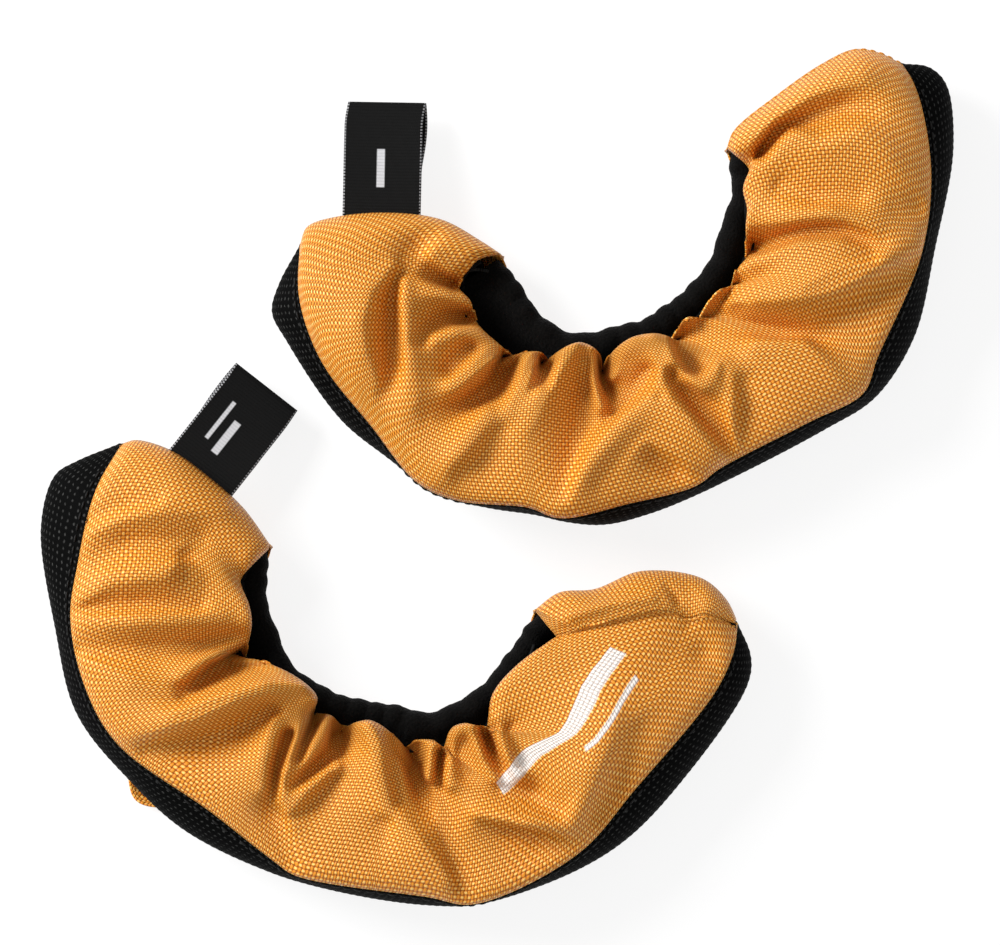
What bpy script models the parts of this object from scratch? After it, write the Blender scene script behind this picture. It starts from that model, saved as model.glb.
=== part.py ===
"""A pair of soft skate blade guards (soakers), each lying on its side.

Each guard is a crescent pouch. A webbing sole runs round the outside, two cloth panels make the
walls, and a mouth on the inside of the crescent is gathered by an elastic loop between two
terry bands. +Z is up, the guards lie on z = 0, and all design values below are in millimetres.

Every wall is a section swept along the crescent. A station number t runs from the heel end (0)
to the toe end, and four plan curves say where the section's corners are:
  outer  - the webbing's furthest reach     seam - where the top panel meets the webbing
  lip    - the top panel's inner edge       under_lip - the under panel's inner edge
"""
import math

import bpy
import bmesh
import numpy as np

MM = 0.001
PLAN_SHIFT = (0.45, 1.05, 0.0)   # puts the origin under the middle of the pair's box

# Heights of the section's corners above the table, in mm.
MID_HEIGHT = 15.0
SEAM_HEIGHT = 26.0
CROWN_HEIGHT = 34.0
TOP_LIP_HEIGHT = 20.0
UNDER_LIP_HEIGHT = 8.0
SOLE_FOOT_HEIGHT = 2.5
BELLY_DIP = 6.0           # how far the under panel would sag without the table
END_FULLNESS = 0.3        # the pouch's height at its pointed ends, as a share of the full one
END_SLIT = 1.4            # half the slit between the panels where the ends are closed
END_TAPER = 1.7           # stations over which the pouch swells from its pointed ends
LIP_RAMP = 0.7            # stations over which the closed edge opens into the mouth
FOOT_INSET = (1.0, 4.5)   # how far in the sole's foot lies at the ends, and how much more over the body
TOP_SHOULDERS = (0.22, 1.02)      # where across a wall its section's handles stand
UNDER_SHOULDERS = (0.2, 1.0)
SOLE_ROUNDNESS = 0.6      # how much of the bow, and not of the seam, the webbing's handles follow

# Margins that pieces keep to the ends of what they follow, in stations.
SOLE_END = 0.12
INSOLE_END = 1.6
LINING_END = 1.5
BAND_END = 0.8
ELASTIC_END = 0.95
HEM_END = 0.9
STITCH_END = 0.6
TAPE_END = 0.5
TAPE_MOUTH_GAP = 0.1
TOE_SEAM_ENDS = (0.5, 0.9)

# Thicknesses and gaps, in mm.
GAP = 0.4
LAYER_GAP = 1.1           # between a wall and the layer behind it, which bends more sharply
LINING_GAP = 1.5          # the linings hang a little free of the panels
PANEL_THICK = 0.9
LINING_THICK = 1.4
WEBBING_THICK = 2.0
INSOLE_THICK = 2.0
BAND_THICK = 1.8
BAND_START = 0.84         # how far across a wall its mouth band begins
BAND_REACH = 1.8          # how far a mouth band stands past its panel's edge
ELASTIC_THICK = 1.0
ELASTIC_DEPTH = 7.8       # from a panel's edge to the elastic behind its band
ELASTIC_WIDTH = 5.0
THREAD_RADIUS = 0.35
TAPE_RADIUS = 0.5
PUCKER_HEIGHT = 1.5

# The woven label loop, in mm.
LABEL_WIDTH = 22.0
LABEL_THICK = 0.5
LABEL_HEIGHT = 14.0
LABEL_BEND_RADIUS = 0.9
LABEL_START = 0.4         # from the hinge line to the label's sewn edge
LABEL_DROOP = math.radians(12.0)

ORANGE = (0.76, 0.29, 0.045)
WEBBING_BLACK = (0.016, 0.016, 0.017)
TERRY_BLACK = (0.010, 0.010, 0.011)
THREAD_BLACK = (0.022, 0.022, 0.024)
LABEL_BLACK = (0.013, 0.013, 0.015)
ELASTIC_BLACK = (0.03, 0.03, 0.032)

LEFT_GUARD = {
    "name": "left",
    "outer": [(-107, 9), (-120, 4), (-128, -7), (-129, -21), (-126, -37), (-118, -69), (-88, -101),
              (-43, -117), (-4, -120), (35, -103), (63, -71), (70, -59), (70, -49), (68, -43), (67, -40)],
    "seam": [(-106, 9), (-111, 2), (-115, -9), (-118, -23), (-120, -38), (-113, -67), (-87, -89),
             (-47, -114), (-7, -119), (29, -97), (53, -69), (62, -57), (65, -48), (66, -43), (66, -41)],
    "lip": [(-103, 10), (-97, 9), (-86, 3), (-74, -7), (-64, -20), (-70, -48), (-50, -64), (-26, -75),
            (-5, -69), (4, -55), (16, -43), (27, -32), (45, -27), (59, -30), (66, -38)],
    "under_lip": [(-103, 10), (-97, 9), (-86, 3), (-74, -7), (-64, -20), (-63, -46), (-47, -62),
                  (-26, -67), (-9, -63), (2, -52), (10, -39), (27, -32), (45, -27), (59, -30), (66, -38)],
    "mouth": (4.0, 11.0),
    "label_base": (-83, 2),
    "label_angle": 52.0,
    "label_reach": 29.0,
    "label_belly": 0.0,
}

RIGHT_GUARD = {
    "name": "right",
    "outer": [(-56, 65), (-59, 59), (-64, 48), (-60, 37), (-54, 28), (-45, 16), (-24, -1), (6, -10),
              (42, -10), (83, 8), (114, 34), (125, 72), (128, 95), (126, 109), (120, 115), (115, 117)],
    "seam": [(-55, 66), (-56, 60), (-55, 49), (-51, 37), (-46, 27), (-39, 19), (-26, 2), (-3, -8),
             (35, -7), (78, 9), (108, 36), (120, 71), (120, 94), (117, 108), (114, 113), (113, 115)],
    "lip": [(-54, 69), (-48, 72), (-34, 74), (-17, 71), (1, 62), (-7, 50), (3, 36), (25, 37), (50, 42),
            (64, 55), (69, 71), (66, 90), (78, 107), (92, 117), (102, 120), (110, 118)],
    "under_lip": [(-54, 69), (-48, 72), (-34, 74), (-17, 71), (1, 62), (6, 54), (15, 43), (30, 42),
                  (46, 49), (59, 60), (63, 74), (64, 91), (78, 107), (92, 117), (102, 120), (110, 118)],
    "mouth": (4.0, 11.0),
    "label_base": (-33, 76),
    "label_angle": 89.0,
    "label_reach": 29.5,
    "label_belly": 1.4,
}


# ---------------------------------------------------------------- curves and sections

def smooth_step(value):
    value = min(1.0, max(0.0, value))
    return value * value * (3.0 - 2.0 * value)


def spline(points, t):
    """Catmull-Rom curve through the points, at station number t."""
    last = len(points) - 1
    t = min(max(t, 0.0), float(last))
    i = min(int(t), last - 1)
    f = t - i
    knots = [np.array(points[min(max(k, 0), last)], float) for k in (i - 1, i, i + 1, i + 2)]
    if i == 0:
        knots[0] = 2.0 * knots[1] - knots[2]
    if i == last - 1:
        knots[3] = 2.0 * knots[2] - knots[1]
    a, b, c, d = knots
    return 0.5 * (2 * b + (c - a) * f + (2 * a - 5 * b + 4 * c - d) * f ** 2
                  + (3 * b - a - 3 * c + d) * f ** 3)


def bezier(corners, f):
    """Cubic Bezier through four 3-D control points."""
    a, b, c, d = corners
    g = 1.0 - f
    return g ** 3 * a + 3 * g * g * f * b + 3 * g * f * f * c + f ** 3 * d


def last_station(guard):
    return len(guard["outer"]) - 1.0


def swell(guard, t):
    """0 at the pointed ends of the crescent, 1 over its body."""
    edge = min(t, last_station(guard) - t) / END_TAPER
    return math.sin(0.5 * math.pi * min(1.0, max(0.0, edge)))


def fullness(guard, t):
    """The share of its full height that the pouch has at a station."""
    return END_FULLNESS + (1.0 - END_FULLNESS) * swell(guard, t)


def mouth_open(guard, t):
    """0 where the two panels are sewn together, 1 where the mouth is open."""
    start, end = guard["mouth"]
    return smooth_step((t - start) / LIP_RAMP) * smooth_step((end - t) / LIP_RAMP)


def raised(point, height):
    return np.array([point[0], point[1], height])


def section_heights(guard, t):
    """Heights of the seam, crown, top lip, under lip and sole foot at a station."""
    full = fullness(guard, t)
    opening = mouth_open(guard, t)
    seam = MID_HEIGHT + (SEAM_HEIGHT - MID_HEIGHT) * full
    crown = MID_HEIGHT + (CROWN_HEIGHT - MID_HEIGHT) * full
    foot = MID_HEIGHT + (SOLE_FOOT_HEIGHT - MID_HEIGHT) * full
    top_lip = MID_HEIGHT + END_SLIT + (TOP_LIP_HEIGHT - MID_HEIGHT - END_SLIT) * opening
    under_lip = MID_HEIGHT - END_SLIT + (UNDER_LIP_HEIGHT - MID_HEIGHT + END_SLIT) * opening
    return seam, crown, top_lip, under_lip, foot


def sole_foot(guard, t):
    """Plan position of the seam between the webbing and the under panel."""
    outer = spline(guard["outer"], t)
    lip = spline(guard["under_lip"], t)
    inward = lip - outer
    return outer + inward / np.linalg.norm(inward) * (FOOT_INSET[0] + FOOT_INSET[1] * swell(guard, t))


def top_skin(guard, t, v):
    """Outer skin of the top panel: v runs from the webbing seam (0) to the lip (1)."""
    seam_z, crown_z, lip_z, _, _ = section_heights(guard, t)
    seam = raised(spline(guard["seam"], t), seam_z)
    lip = raised(spline(guard["lip"], t), lip_z)
    across = lip - seam
    shoulder = seam + TOP_SHOULDERS[0] * across
    brow = seam + TOP_SHOULDERS[1] * across
    shoulder[2] = crown_z
    brow[2] = crown_z
    return bezier((seam, shoulder, brow, lip), v)


def under_skin(guard, t, v):
    """Outer skin of the under panel: v runs from the sole foot (0) to the lip (1)."""
    _, _, _, lip_z, foot_z = section_heights(guard, t)
    foot = raised(sole_foot(guard, t), foot_z)
    lip = raised(spline(guard["under_lip"], t), lip_z)
    across = lip - foot
    outer_handle = foot + UNDER_SHOULDERS[0] * across
    inner_handle = foot + UNDER_SHOULDERS[1] * across
    belly_z = MID_HEIGHT - (MID_HEIGHT + BELLY_DIP) * fullness(guard, t)
    outer_handle[2] = belly_z
    inner_handle[2] = belly_z
    point = bezier((foot, outer_handle, inner_handle, lip), v)
    point[2] = max(point[2], 0.0)
    return point


def sole_skin(guard, t, s):
    """Outer skin of the webbing: s runs from the top seam (0) to the foot (1)."""
    seam_z, _, _, _, foot_z = section_heights(guard, t)
    seam = raised(spline(guard["seam"], t), seam_z)
    foot = raised(sole_foot(guard, t), foot_z)
    outer = raised(spline(guard["outer"], t), 0.5 * (seam_z + foot_z))
    bulge = (outer - 0.125 * (seam + foot)) / 0.75
    high = bulge.copy()
    low = bulge.copy()
    high[2] = SOLE_ROUNDNESS * bulge[2] + (1.0 - SOLE_ROUNDNESS) * seam_z
    low[2] = SOLE_ROUNDNESS * bulge[2] + (1.0 - SOLE_ROUNDNESS) * foot_z
    return bezier((seam, high, low, foot), s)


def outward(skin, guard, t, v):
    """Unit normal of a skin, pointing out of the pouch."""
    step = 0.02
    along = skin(guard, t + step, v) - skin(guard, t - step, v)
    low = max(v - step, 0.0)
    high = min(v + step, 1.0)
    across = skin(guard, t, high) - skin(guard, t, low)
    normal = np.cross(along, across)
    if skin is not top_skin:
        normal = -normal
    length = np.linalg.norm(normal)
    return normal / length


def inside(skin, guard, t, v, depth):
    """The point of a skin moved inward by depth."""
    return skin(guard, t, v) - depth * outward(skin, guard, t, v)


# ---------------------------------------------------------------- Blender objects

def new_material(name, colour, roughness, sheen=0.0):
    material = bpy.data.materials.new(name)
    material.use_nodes = True
    shader = material.node_tree.nodes["Principled BSDF"]
    shader.inputs["Base Color"].default_value = (*colour, 1.0)
    shader.inputs["Roughness"].default_value = roughness
    shader.inputs["Metallic"].default_value = 0.0
    shader.inputs["Sheen Weight"].default_value = sheen
    return material


def new_object(name, mesh, material, collection):
    obj = bpy.data.objects.new(name, mesh)
    obj.data.materials.append(material)
    collection.objects.link(obj)
    return obj


def cloth_sheet(name, point_at, columns, rows, thickness, material, collection):
    """A cloth shell: a grid laid on point_at(a, b), a and b from 0 to 1, thickened inward."""
    bm = bmesh.new()
    bmesh.ops.create_grid(bm, x_segments=columns, y_segments=rows, size=0.5)
    for vert in bm.verts:
        vert.co = (point_at(vert.co.x + 0.5, vert.co.y + 0.5) + PLAN_SHIFT) * MM
    mesh = bpy.data.meshes.new(name)
    bm.to_mesh(mesh)
    bm.free()
    mesh.shade_smooth()
    obj = new_object(name, mesh, material, collection)
    shell = obj.modifiers.new("thickness", "SOLIDIFY")
    shell.thickness = thickness * MM
    shell.offset = -1.0
    return obj


def ribbon_ring(name, path, height, thickness, material, collection):
    """A closed flat band standing on its edge: the path in plan, height along Z."""
    mesh = bpy.data.meshes.new(name)
    bm = bmesh.new()
    half = np.array([0.0, 0.0, height / 2])
    lower = [bm.verts.new((point - half + PLAN_SHIFT) * MM) for point in path]
    upper = [bm.verts.new((point + half + PLAN_SHIFT) * MM) for point in path]
    for i in range(len(path)):
        j = (i + 1) % len(path)
        bm.faces.new((lower[i], lower[j], upper[j], upper[i]))
    bm.to_mesh(mesh)
    bm.free()
    mesh.shade_smooth()
    obj = new_object(name, mesh, material, collection)
    shell = obj.modifiers.new("thickness", "SOLIDIFY")
    shell.thickness = thickness * MM
    shell.offset = 0.0
    return obj


def cord(name, points, radius, material, collection):
    """A thread or tape: a tube with closed ends along the points."""
    data = bpy.data.curves.new(name, "CURVE")
    data.dimensions = "3D"
    data.bevel_depth = radius * MM
    data.bevel_resolution = 0
    data.use_fill_caps = True
    run = data.splines.new("POLY")
    run.points.add(len(points) - 1)
    for knot, point in zip(run.points, points):
        knot.co = (*((point + PLAN_SHIFT) * MM), 1.0)
    obj = bpy.data.objects.new(name, data)
    data.materials.append(material)
    collection.objects.link(obj)
    return obj


# ---------------------------------------------------------------- pieces of a guard

def station_range(start, end):
    """A function that turns 0..1 into station numbers between two limits."""
    return lambda a: start + (end - start) * a


def pucker(guard, t, v):
    """Outward swell of the top panel between its gathers, fading towards the webbing."""
    wave = 0.5 - 0.5 * math.cos(2.0 * math.pi * t * 1.25)
    return PUCKER_HEIGHT * wave * mouth_open(guard, t) * math.sin(math.pi * v) * v


def make_sole(guard, paint, collection):
    last = last_station(guard)
    station = station_range(SOLE_END, last - SOLE_END)
    name = guard["name"]

    def webbing(a, b):
        return sole_skin(guard, station(a), 0.93 - 0.86 * b)
    cloth_sheet(name + "_webbing_sole", webbing, 36, 4, WEBBING_THICK, paint["webbing"], collection)

    inner = station_range(INSOLE_END, last - INSOLE_END)

    def insole(a, b):
        return inside(sole_skin, guard, inner(a), 0.76 - 0.52 * b, WEBBING_THICK + LAYER_GAP)
    cloth_sheet(name + "_insole_strip", insole, 26, 2, INSOLE_THICK, paint["terry"], collection)


def make_walls(guard, paint, collection):
    last = last_station(guard)
    station = station_range(0.0, last)
    name = guard["name"]

    def top_panel(a, b):
        t = station(a)
        return top_skin(guard, t, b) + pucker(guard, t, b) * outward(top_skin, guard, t, b)
    cloth_sheet(name + "_top_panel", top_panel, 40, 7, PANEL_THICK, paint["cloth"], collection)

    def under_panel(a, b):
        return under_skin(guard, station(a), 1.0 - b)
    cloth_sheet(name + "_under_panel", under_panel, 34, 6, PANEL_THICK, paint["cloth"], collection)

    inner = station_range(LINING_END, last - LINING_END)
    depth = PANEL_THICK + LINING_GAP

    def top_lining(a, b):
        return inside(top_skin, guard, inner(a), 0.16 + 0.54 * b, depth)
    cloth_sheet(name + "_top_lining", top_lining, 28, 3, LINING_THICK, paint["terry"], collection)

    def under_lining(a, b):
        return inside(under_skin, guard, inner(a), 0.7 - 0.5 * b, depth)
    cloth_sheet(name + "_under_lining", under_lining, 28, 3, LINING_THICK, paint["terry"], collection)


def mouth_band(skin, guard, t, b, way):
    """A band behind a panel's edge: b from 0 on the wall to 1 past the edge, way = -1 down or 1 up."""
    depth = PANEL_THICK + LAYER_GAP
    on_wall = 0.67
    v = min(1.0, BAND_START + (1.0 - BAND_START) * b / on_wall)
    past = max(0.0, (b - on_wall) / (1.0 - on_wall))
    return inside(skin, guard, t, v, depth) + np.array([0.0, 0.0, way * BAND_REACH * past])


def make_mouth(guard, paint, collection):
    name = guard["name"]
    start, end = guard["mouth"]
    station = station_range(start + BAND_END, end - BAND_END)

    def top_band(a, b):
        return mouth_band(top_skin, guard, station(a), b, -1)
    cloth_sheet(name + "_top_mouth_band", top_band, 24, 3, BAND_THICK, paint["terry"], collection)

    def under_band(a, b):
        return mouth_band(under_skin, guard, station(a), 1.0 - b, 1)
    cloth_sheet(name + "_under_mouth_band", under_band, 24, 3, BAND_THICK, paint["terry"], collection)

    make_elastic(guard, paint, collection)


def make_elastic(guard, paint, collection):
    """The elastic loop: along the top band, round a corner, and back along the under band."""
    name = guard["name"]
    start, end = guard["mouth"]
    station = station_range(start + ELASTIC_END, end - ELASTIC_END)
    depth = ELASTIC_DEPTH
    runs = 20
    there = [inside(top_skin, guard, station(i / runs), 1.0, depth) for i in range(runs + 1)]
    back = [inside(under_skin, guard, station(1 - i / runs), 1.0, depth) for i in range(runs + 1)]
    toe_turn = corner_turn(there[-2], there[-1], back[0], back[1])
    heel_turn = corner_turn(back[-2], back[-1], there[0], there[1])
    path = there + toe_turn + back + heel_turn
    ribbon_ring(name + "_mouth_elastic", path, ELASTIC_WIDTH, ELASTIC_THICK, paint["elastic"], collection)


def corner_turn(before, leave, arrive, after):
    """Points of a smooth turn from one run of the elastic to the other."""
    reach = 4.0
    out = leave - before
    back = arrive - after
    first = leave + out / np.linalg.norm(out) * reach
    second = arrive + back / np.linalg.norm(back) * reach
    return [bezier((leave, first, second, arrive), f) for f in (0.25, 0.5, 0.75)]


def make_threads(guard, paint, collection):
    name = guard["name"]
    last = last_station(guard)
    lift = THREAD_RADIUS + GAP
    whole = station_range(STITCH_END, last - STITCH_END)
    knots = 38
    top_line = [inside(sole_skin, guard, whole(i / knots), 0.14, -lift) for i in range(knots + 1)]
    cord(name + "_top_sole_stitch", top_line, THREAD_RADIUS, paint["thread"], collection)
    under_line = [inside(sole_skin, guard, whole(i / knots), 0.86, -lift) for i in range(knots + 1)]
    cord(name + "_under_sole_stitch", under_line, THREAD_RADIUS, paint["thread"], collection)

    start, end = guard["mouth"]
    mouth = station_range(start + HEM_END, end - HEM_END)
    knots = 24
    depth = PANEL_THICK + BAND_THICK + LAYER_GAP + lift
    hem = BAND_START + 0.02
    top_hem = [inside(top_skin, guard, mouth(i / knots), hem, depth) for i in range(knots + 1)]
    cord(name + "_top_mouth_stitch", top_hem, THREAD_RADIUS, paint["thread"], collection)
    under_hem = [inside(under_skin, guard, mouth(i / knots), hem, depth) for i in range(knots + 1)]
    cord(name + "_under_mouth_stitch", under_hem, THREAD_RADIUS, paint["thread"], collection)

    toe = station_range(end + TOE_SEAM_ENDS[0], last - TOE_SEAM_ENDS[1])
    knots = 12
    across = [0.72 - 0.1 * math.sin(math.pi * i / knots) for i in range(knots + 1)]
    seam = [inside(top_skin, guard, toe(i / knots), across[i], -lift) for i in range(knots + 1)]
    cord(name + "_toe_topstitch", seam, THREAD_RADIUS, paint["thread"], collection)


def make_end_tapes(guard, paint, collection):
    """The taped seams that close the pouch from the webbing's ends to the mouth's corners."""
    last = last_station(guard)
    start, end = guard["mouth"]
    runs = {"_heel_seam_tape": (TAPE_END, start - TAPE_MOUTH_GAP),
            "_toe_seam_tape": (end + TAPE_MOUTH_GAP, last - TAPE_END)}
    knots = 12
    for suffix, limits in runs.items():
        station = station_range(*limits)
        line = [raised(spline(guard["lip"], station(i / knots)), MID_HEIGHT) for i in range(knots + 1)]
        cord(guard["name"] + suffix, line, TAPE_RADIUS, paint["tape"], collection)


def make_label(guard, paint, collection):
    """The folded woven label, hinged at the line where it is sewn into the heel seam."""
    name = guard["name"]
    turned = math.radians(guard["label_angle"])
    level = np.array([math.cos(turned), math.sin(turned), 0.0])
    side = np.array([level[1], -level[0], 0.0])
    rise = np.array([0.0, 0.0, 1.0])
    way = level * math.cos(LABEL_DROOP) - rise * math.sin(LABEL_DROOP)
    up = level * math.sin(LABEL_DROOP) + rise * math.cos(LABEL_DROOP)
    base = raised(guard["label_base"], LABEL_HEIGHT) + PLAN_SHIFT
    reach = guard["label_reach"]
    belly = guard["label_belly"]
    bend = LABEL_BEND_RADIUS
    profile = [(LABEL_START, bend), (reach * 0.5, bend)]
    turns = 6
    for i in range(turns + 1):
        angle = math.pi * (0.5 - i / turns)
        profile.append((reach + bend * math.cos(angle), bend * math.sin(angle)))
    profile += [(reach * 0.65, -bend - belly), (reach * 0.35, -bend - 0.7 * belly), (LABEL_START, -bend)]
    last = len(profile) - 1

    def loop(a, b):
        out, height = profile[round(b * last)]
        return way * out + side * (a - 0.5) * LABEL_WIDTH + up * height - PLAN_SHIFT
    label = cloth_sheet(name + "_label_loop", loop, 3, last, LABEL_THICK, paint["label"], collection)
    label.location = base * MM

    stand = bend + GAP + THREAD_RADIUS
    across = LABEL_WIDTH - 2.0
    tack = [side * (f - 0.5) * across + way * 2.2 + up * stand - PLAN_SHIFT for f in (0.0, 0.33, 0.67, 1.0)]
    bar = cord(name + "_label_bartack", tack, THREAD_RADIUS, paint["thread"], collection)
    bar.location = base * MM


def make_guard(guard, paint, collection):
    make_sole(guard, paint, collection)
    make_walls(guard, paint, collection)
    make_mouth(guard, paint, collection)
    make_threads(guard, paint, collection)
    make_end_tapes(guard, paint, collection)
    make_label(guard, paint, collection)


def main():
    for obj in list(bpy.data.objects):
        bpy.data.objects.remove(obj)
    collection = bpy.data.collections.new("skate_blade_guards")
    bpy.context.scene.collection.children.link(collection)
    paint = {
        "cloth": new_material("orange_cloth", ORANGE, 0.55, 0.3),
        "webbing": new_material("black_webbing", WEBBING_BLACK, 0.6),
        "terry": new_material("black_terry", TERRY_BLACK, 0.95, 0.4),
        "elastic": new_material("black_elastic", ELASTIC_BLACK, 0.8),
        "thread": new_material("black_thread", THREAD_BLACK, 0.6),
        "tape": new_material("seam_tape", TERRY_BLACK, 0.9),
        "label": new_material("black_label", LABEL_BLACK, 0.45),
    }
    for guard in (LEFT_GUARD, RIGHT_GUARD):
        make_guard(guard, paint, collection)


main()
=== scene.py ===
"""Looks of the two soft skate blade guards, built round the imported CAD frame.

Every length in this script is in millimetres until a mesh is made. Plan curves run from the heel
end of a guard to its toe end, +Z is up, and the guards lie on z = 0. Each cloth wall is a flat
strip, laid between the webbing and the gathered mouth as a taut skin that fold lines crease.
"""

import math

import bmesh
import bpy
import numpy as np
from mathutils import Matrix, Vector
from mathutils.kdtree import KDTree


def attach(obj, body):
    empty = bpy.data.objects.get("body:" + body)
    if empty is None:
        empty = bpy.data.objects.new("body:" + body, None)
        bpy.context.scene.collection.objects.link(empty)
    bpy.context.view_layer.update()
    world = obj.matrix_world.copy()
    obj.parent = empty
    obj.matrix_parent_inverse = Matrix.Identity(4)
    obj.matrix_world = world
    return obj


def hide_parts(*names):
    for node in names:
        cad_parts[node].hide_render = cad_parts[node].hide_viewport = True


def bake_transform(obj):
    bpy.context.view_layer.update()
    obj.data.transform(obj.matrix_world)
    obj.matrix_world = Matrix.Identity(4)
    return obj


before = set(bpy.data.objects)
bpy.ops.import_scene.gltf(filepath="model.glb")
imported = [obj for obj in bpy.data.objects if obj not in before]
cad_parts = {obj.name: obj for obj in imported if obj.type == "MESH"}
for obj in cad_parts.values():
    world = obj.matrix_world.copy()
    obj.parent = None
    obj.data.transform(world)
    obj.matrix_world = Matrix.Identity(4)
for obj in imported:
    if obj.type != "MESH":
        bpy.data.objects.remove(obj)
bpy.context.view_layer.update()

MM = 0.001
PLAN_SHIFT = np.array((0.45, 1.05, 0.0))   # the same shift as the CAD model's plan

# Heights above the table, and the length of the pointed ends.
MID_HEIGHT = 15.0
SEAM_HEIGHT = 26.0
FOOT_HEIGHT = 2.5
END_FULLNESS = 0.3
END_TAPER = 30.0

PANEL_THICK = 0.55
LINING_THICK = 1.2
LINING_GAP = 2.6
LINING_REACH = 0.8          # how far across a wall its lining goes
LINING_MARGIN = 5           # rows left out at each closed end
LINING_EDGE = 6             # columns left out at the sole seam
BAND_THICK = 1.5
BAND_END_INSET = 2.2
WEBBING_THICK = 1.6
WEBBING_WIDTH = 37.0
SOLE_MARGIN = -0.008        # the webbing laps a little past the seam lines
FOOT_INSET = 4.5
SOLE_GRID = (760, 88)
INSOLE_THICK = 1.8
INSOLE_GRID = (160, 16)
INSOLE_DEPTH = 3.6          # from the webbing's skin to the middle of the strip
ELASTIC_WIDTH = 4.6
ELASTIC_THICK = 0.9
TAPE_DEPTH = 2.6
TAPE_ROW = 7                # rows of the top panel between a closed end and its tape
TOE_WRAP_ROWS = 14
COVER_REACH = 1.2
COVER_GAP = 2.6             # from the outer wall to the terry hem under it
LABEL_WIDTH = 22.0
LABEL_THICK = 0.4
LABEL_HEIGHT = 14.0
LABEL_BEND = 0.9
LABEL_DROOP = 12.0
LABEL_TUCK = 5.0            # how far the label runs into the heel seam

# Weaves.
YARN_PITCH = 0.95
RIB_PITCH = 2.05
FLECK_PITCH = 1.9
RIB_RELIEF = 0.11

# Lips, as counts of points, and the far lip's even ruffles.
LIP_POINTS = 600
LIP_REACH = 14
FAR_LIP_POINTS = 420
RUFFLE_PITCH = 6.4

# Walls. A roll is how far a wall falls at an edge, and over what distance.
WALL_GRID = (480, 88)
FOLD_WIDTH = 1.2
FOLD_GRIP = 12.0
FOLD_GAIN = 1.7             # what every fold's lift is multiplied by
MEMBRANE_PASSES = 320
OVER_RELAX = 1.88
SOFTENING = 4
TOP_LOAD = 0.022
LIP_SLOPE = 0.7             # how steeply the wall may dip behind its lip
LIP_EASE = 0.45             # how far the lip's tucks are drawn out to its mean line
SEAM_ROLL = (3.0, 5.0)
LIP_ROLL = (4.0, 4.0)
CLOSED_ROLL = (9.5, 8.0)

UNDER_SEAM_ROLL = (-2.0, 3.0)
UNDER_LIP_ROLL = (-4.5, 5.0)
UNDER_END_ROLL = (-13.0, 9.0)
UNDER_LOAD = -0.02
UNDER_LIP_SLOPE = 5.0
TOP_LEVELS = {"lowest": 8.5, "highest": 38.0}
UNDER_LEVELS = {"lowest": 0.6, "highest": 16.0}

# Hems, as sections of (out, up) from the lip's line; the rim's is measured from the table.
HEM_SECTION = ((-4.6, -3.2), (-3.0, -2.6), (-1.4, -2.6), (-0.4, -3.2), (0.2, -4.4), (0.1, -6.0),
               (-0.9, -7.8), (-2.4, -9.0))
RIM_SECTION = ((-2.7, 4.6), (-1.6, 6.2), (-1.1, 8.4), (-1.2, 10.6), (-2.1, 12.0), (-3.5, 12.3), (-5.0, 11.2),
               (-6.6, 9.2), (-9.0, 7.4), (-11.8, 6.0), (-15.4, 4.8))
RIM_FOOT = 4.8              # the rim is flatter above this height where it meets a closed end

# Threads: stitch pitch, share of the pitch that shows, radius.
SOLE_THREAD = (3.2, 0.74, 0.38)
HEM_THREAD = (3.0, 0.74, 0.34)
TOE_THREAD = (2.6, 0.7, 0.3)
TACK_THREAD = (1.6, 0.8, 0.32)
HEM_STITCH = (-1.2, -9.6)
RIM_STITCH = (-6.6, 8.9)
NEAR_ELASTIC = (-2.4, -6.5)
FAR_ELASTIC = (-3.4, 8.0)

# Colours, linear.
# The gap colour is painted shade between the yarns; the crown colour is a painted highlight on the shining
# yarns' tops.
CLOTH_GAP_SHADE = (0.28, 0.062, 0.002)
CLOTH_MID = (0.64, 0.18, 0.006)
CLOTH_BASE = (0.86, 0.34, 0.024)
CLOTH_CROWN_HIGHLIGHT = (1.0, 0.68, 0.20)
PRINT_WHITE = (0.88, 0.86, 0.82)
LABEL_PALE = (0.62, 0.62, 0.64)

# Plain printed bars on the left guard's top wall, and woven ones on the labels: (from, to) along
# the cloth and (from, to) across it.
PRINT_STRIPES = (((226.0, 286.0), (24.5, 28.5)), ((260.0, 283.0), (19.0, 20.4)))
LABEL_BARS = (((10.0, 21.0), (9.4, 11.6)), ((12.0, 25.0), (5.6, 6.8)))

# Studio: name, place in metres, (width, height) in metres, watts.
WORLD_LIGHT = 0.46
FLOOR_GLOW = 0.84           # keeps the floor pale under the guards' soft shadows
SOFTBOXES = (
    ("key_softbox", (-1.05, 0.62, 0.85), (0.7, 0.7), 30.0),
    ("fill_softbox", (0.5, -0.9, 1.2), (1.0, 1.0), 2.5),
)
CAMERA_LENS = 256.0
CAMERA_AIM = (0.73, 1.89)
CAMERA_HEIGHT = 2016.0
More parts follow.
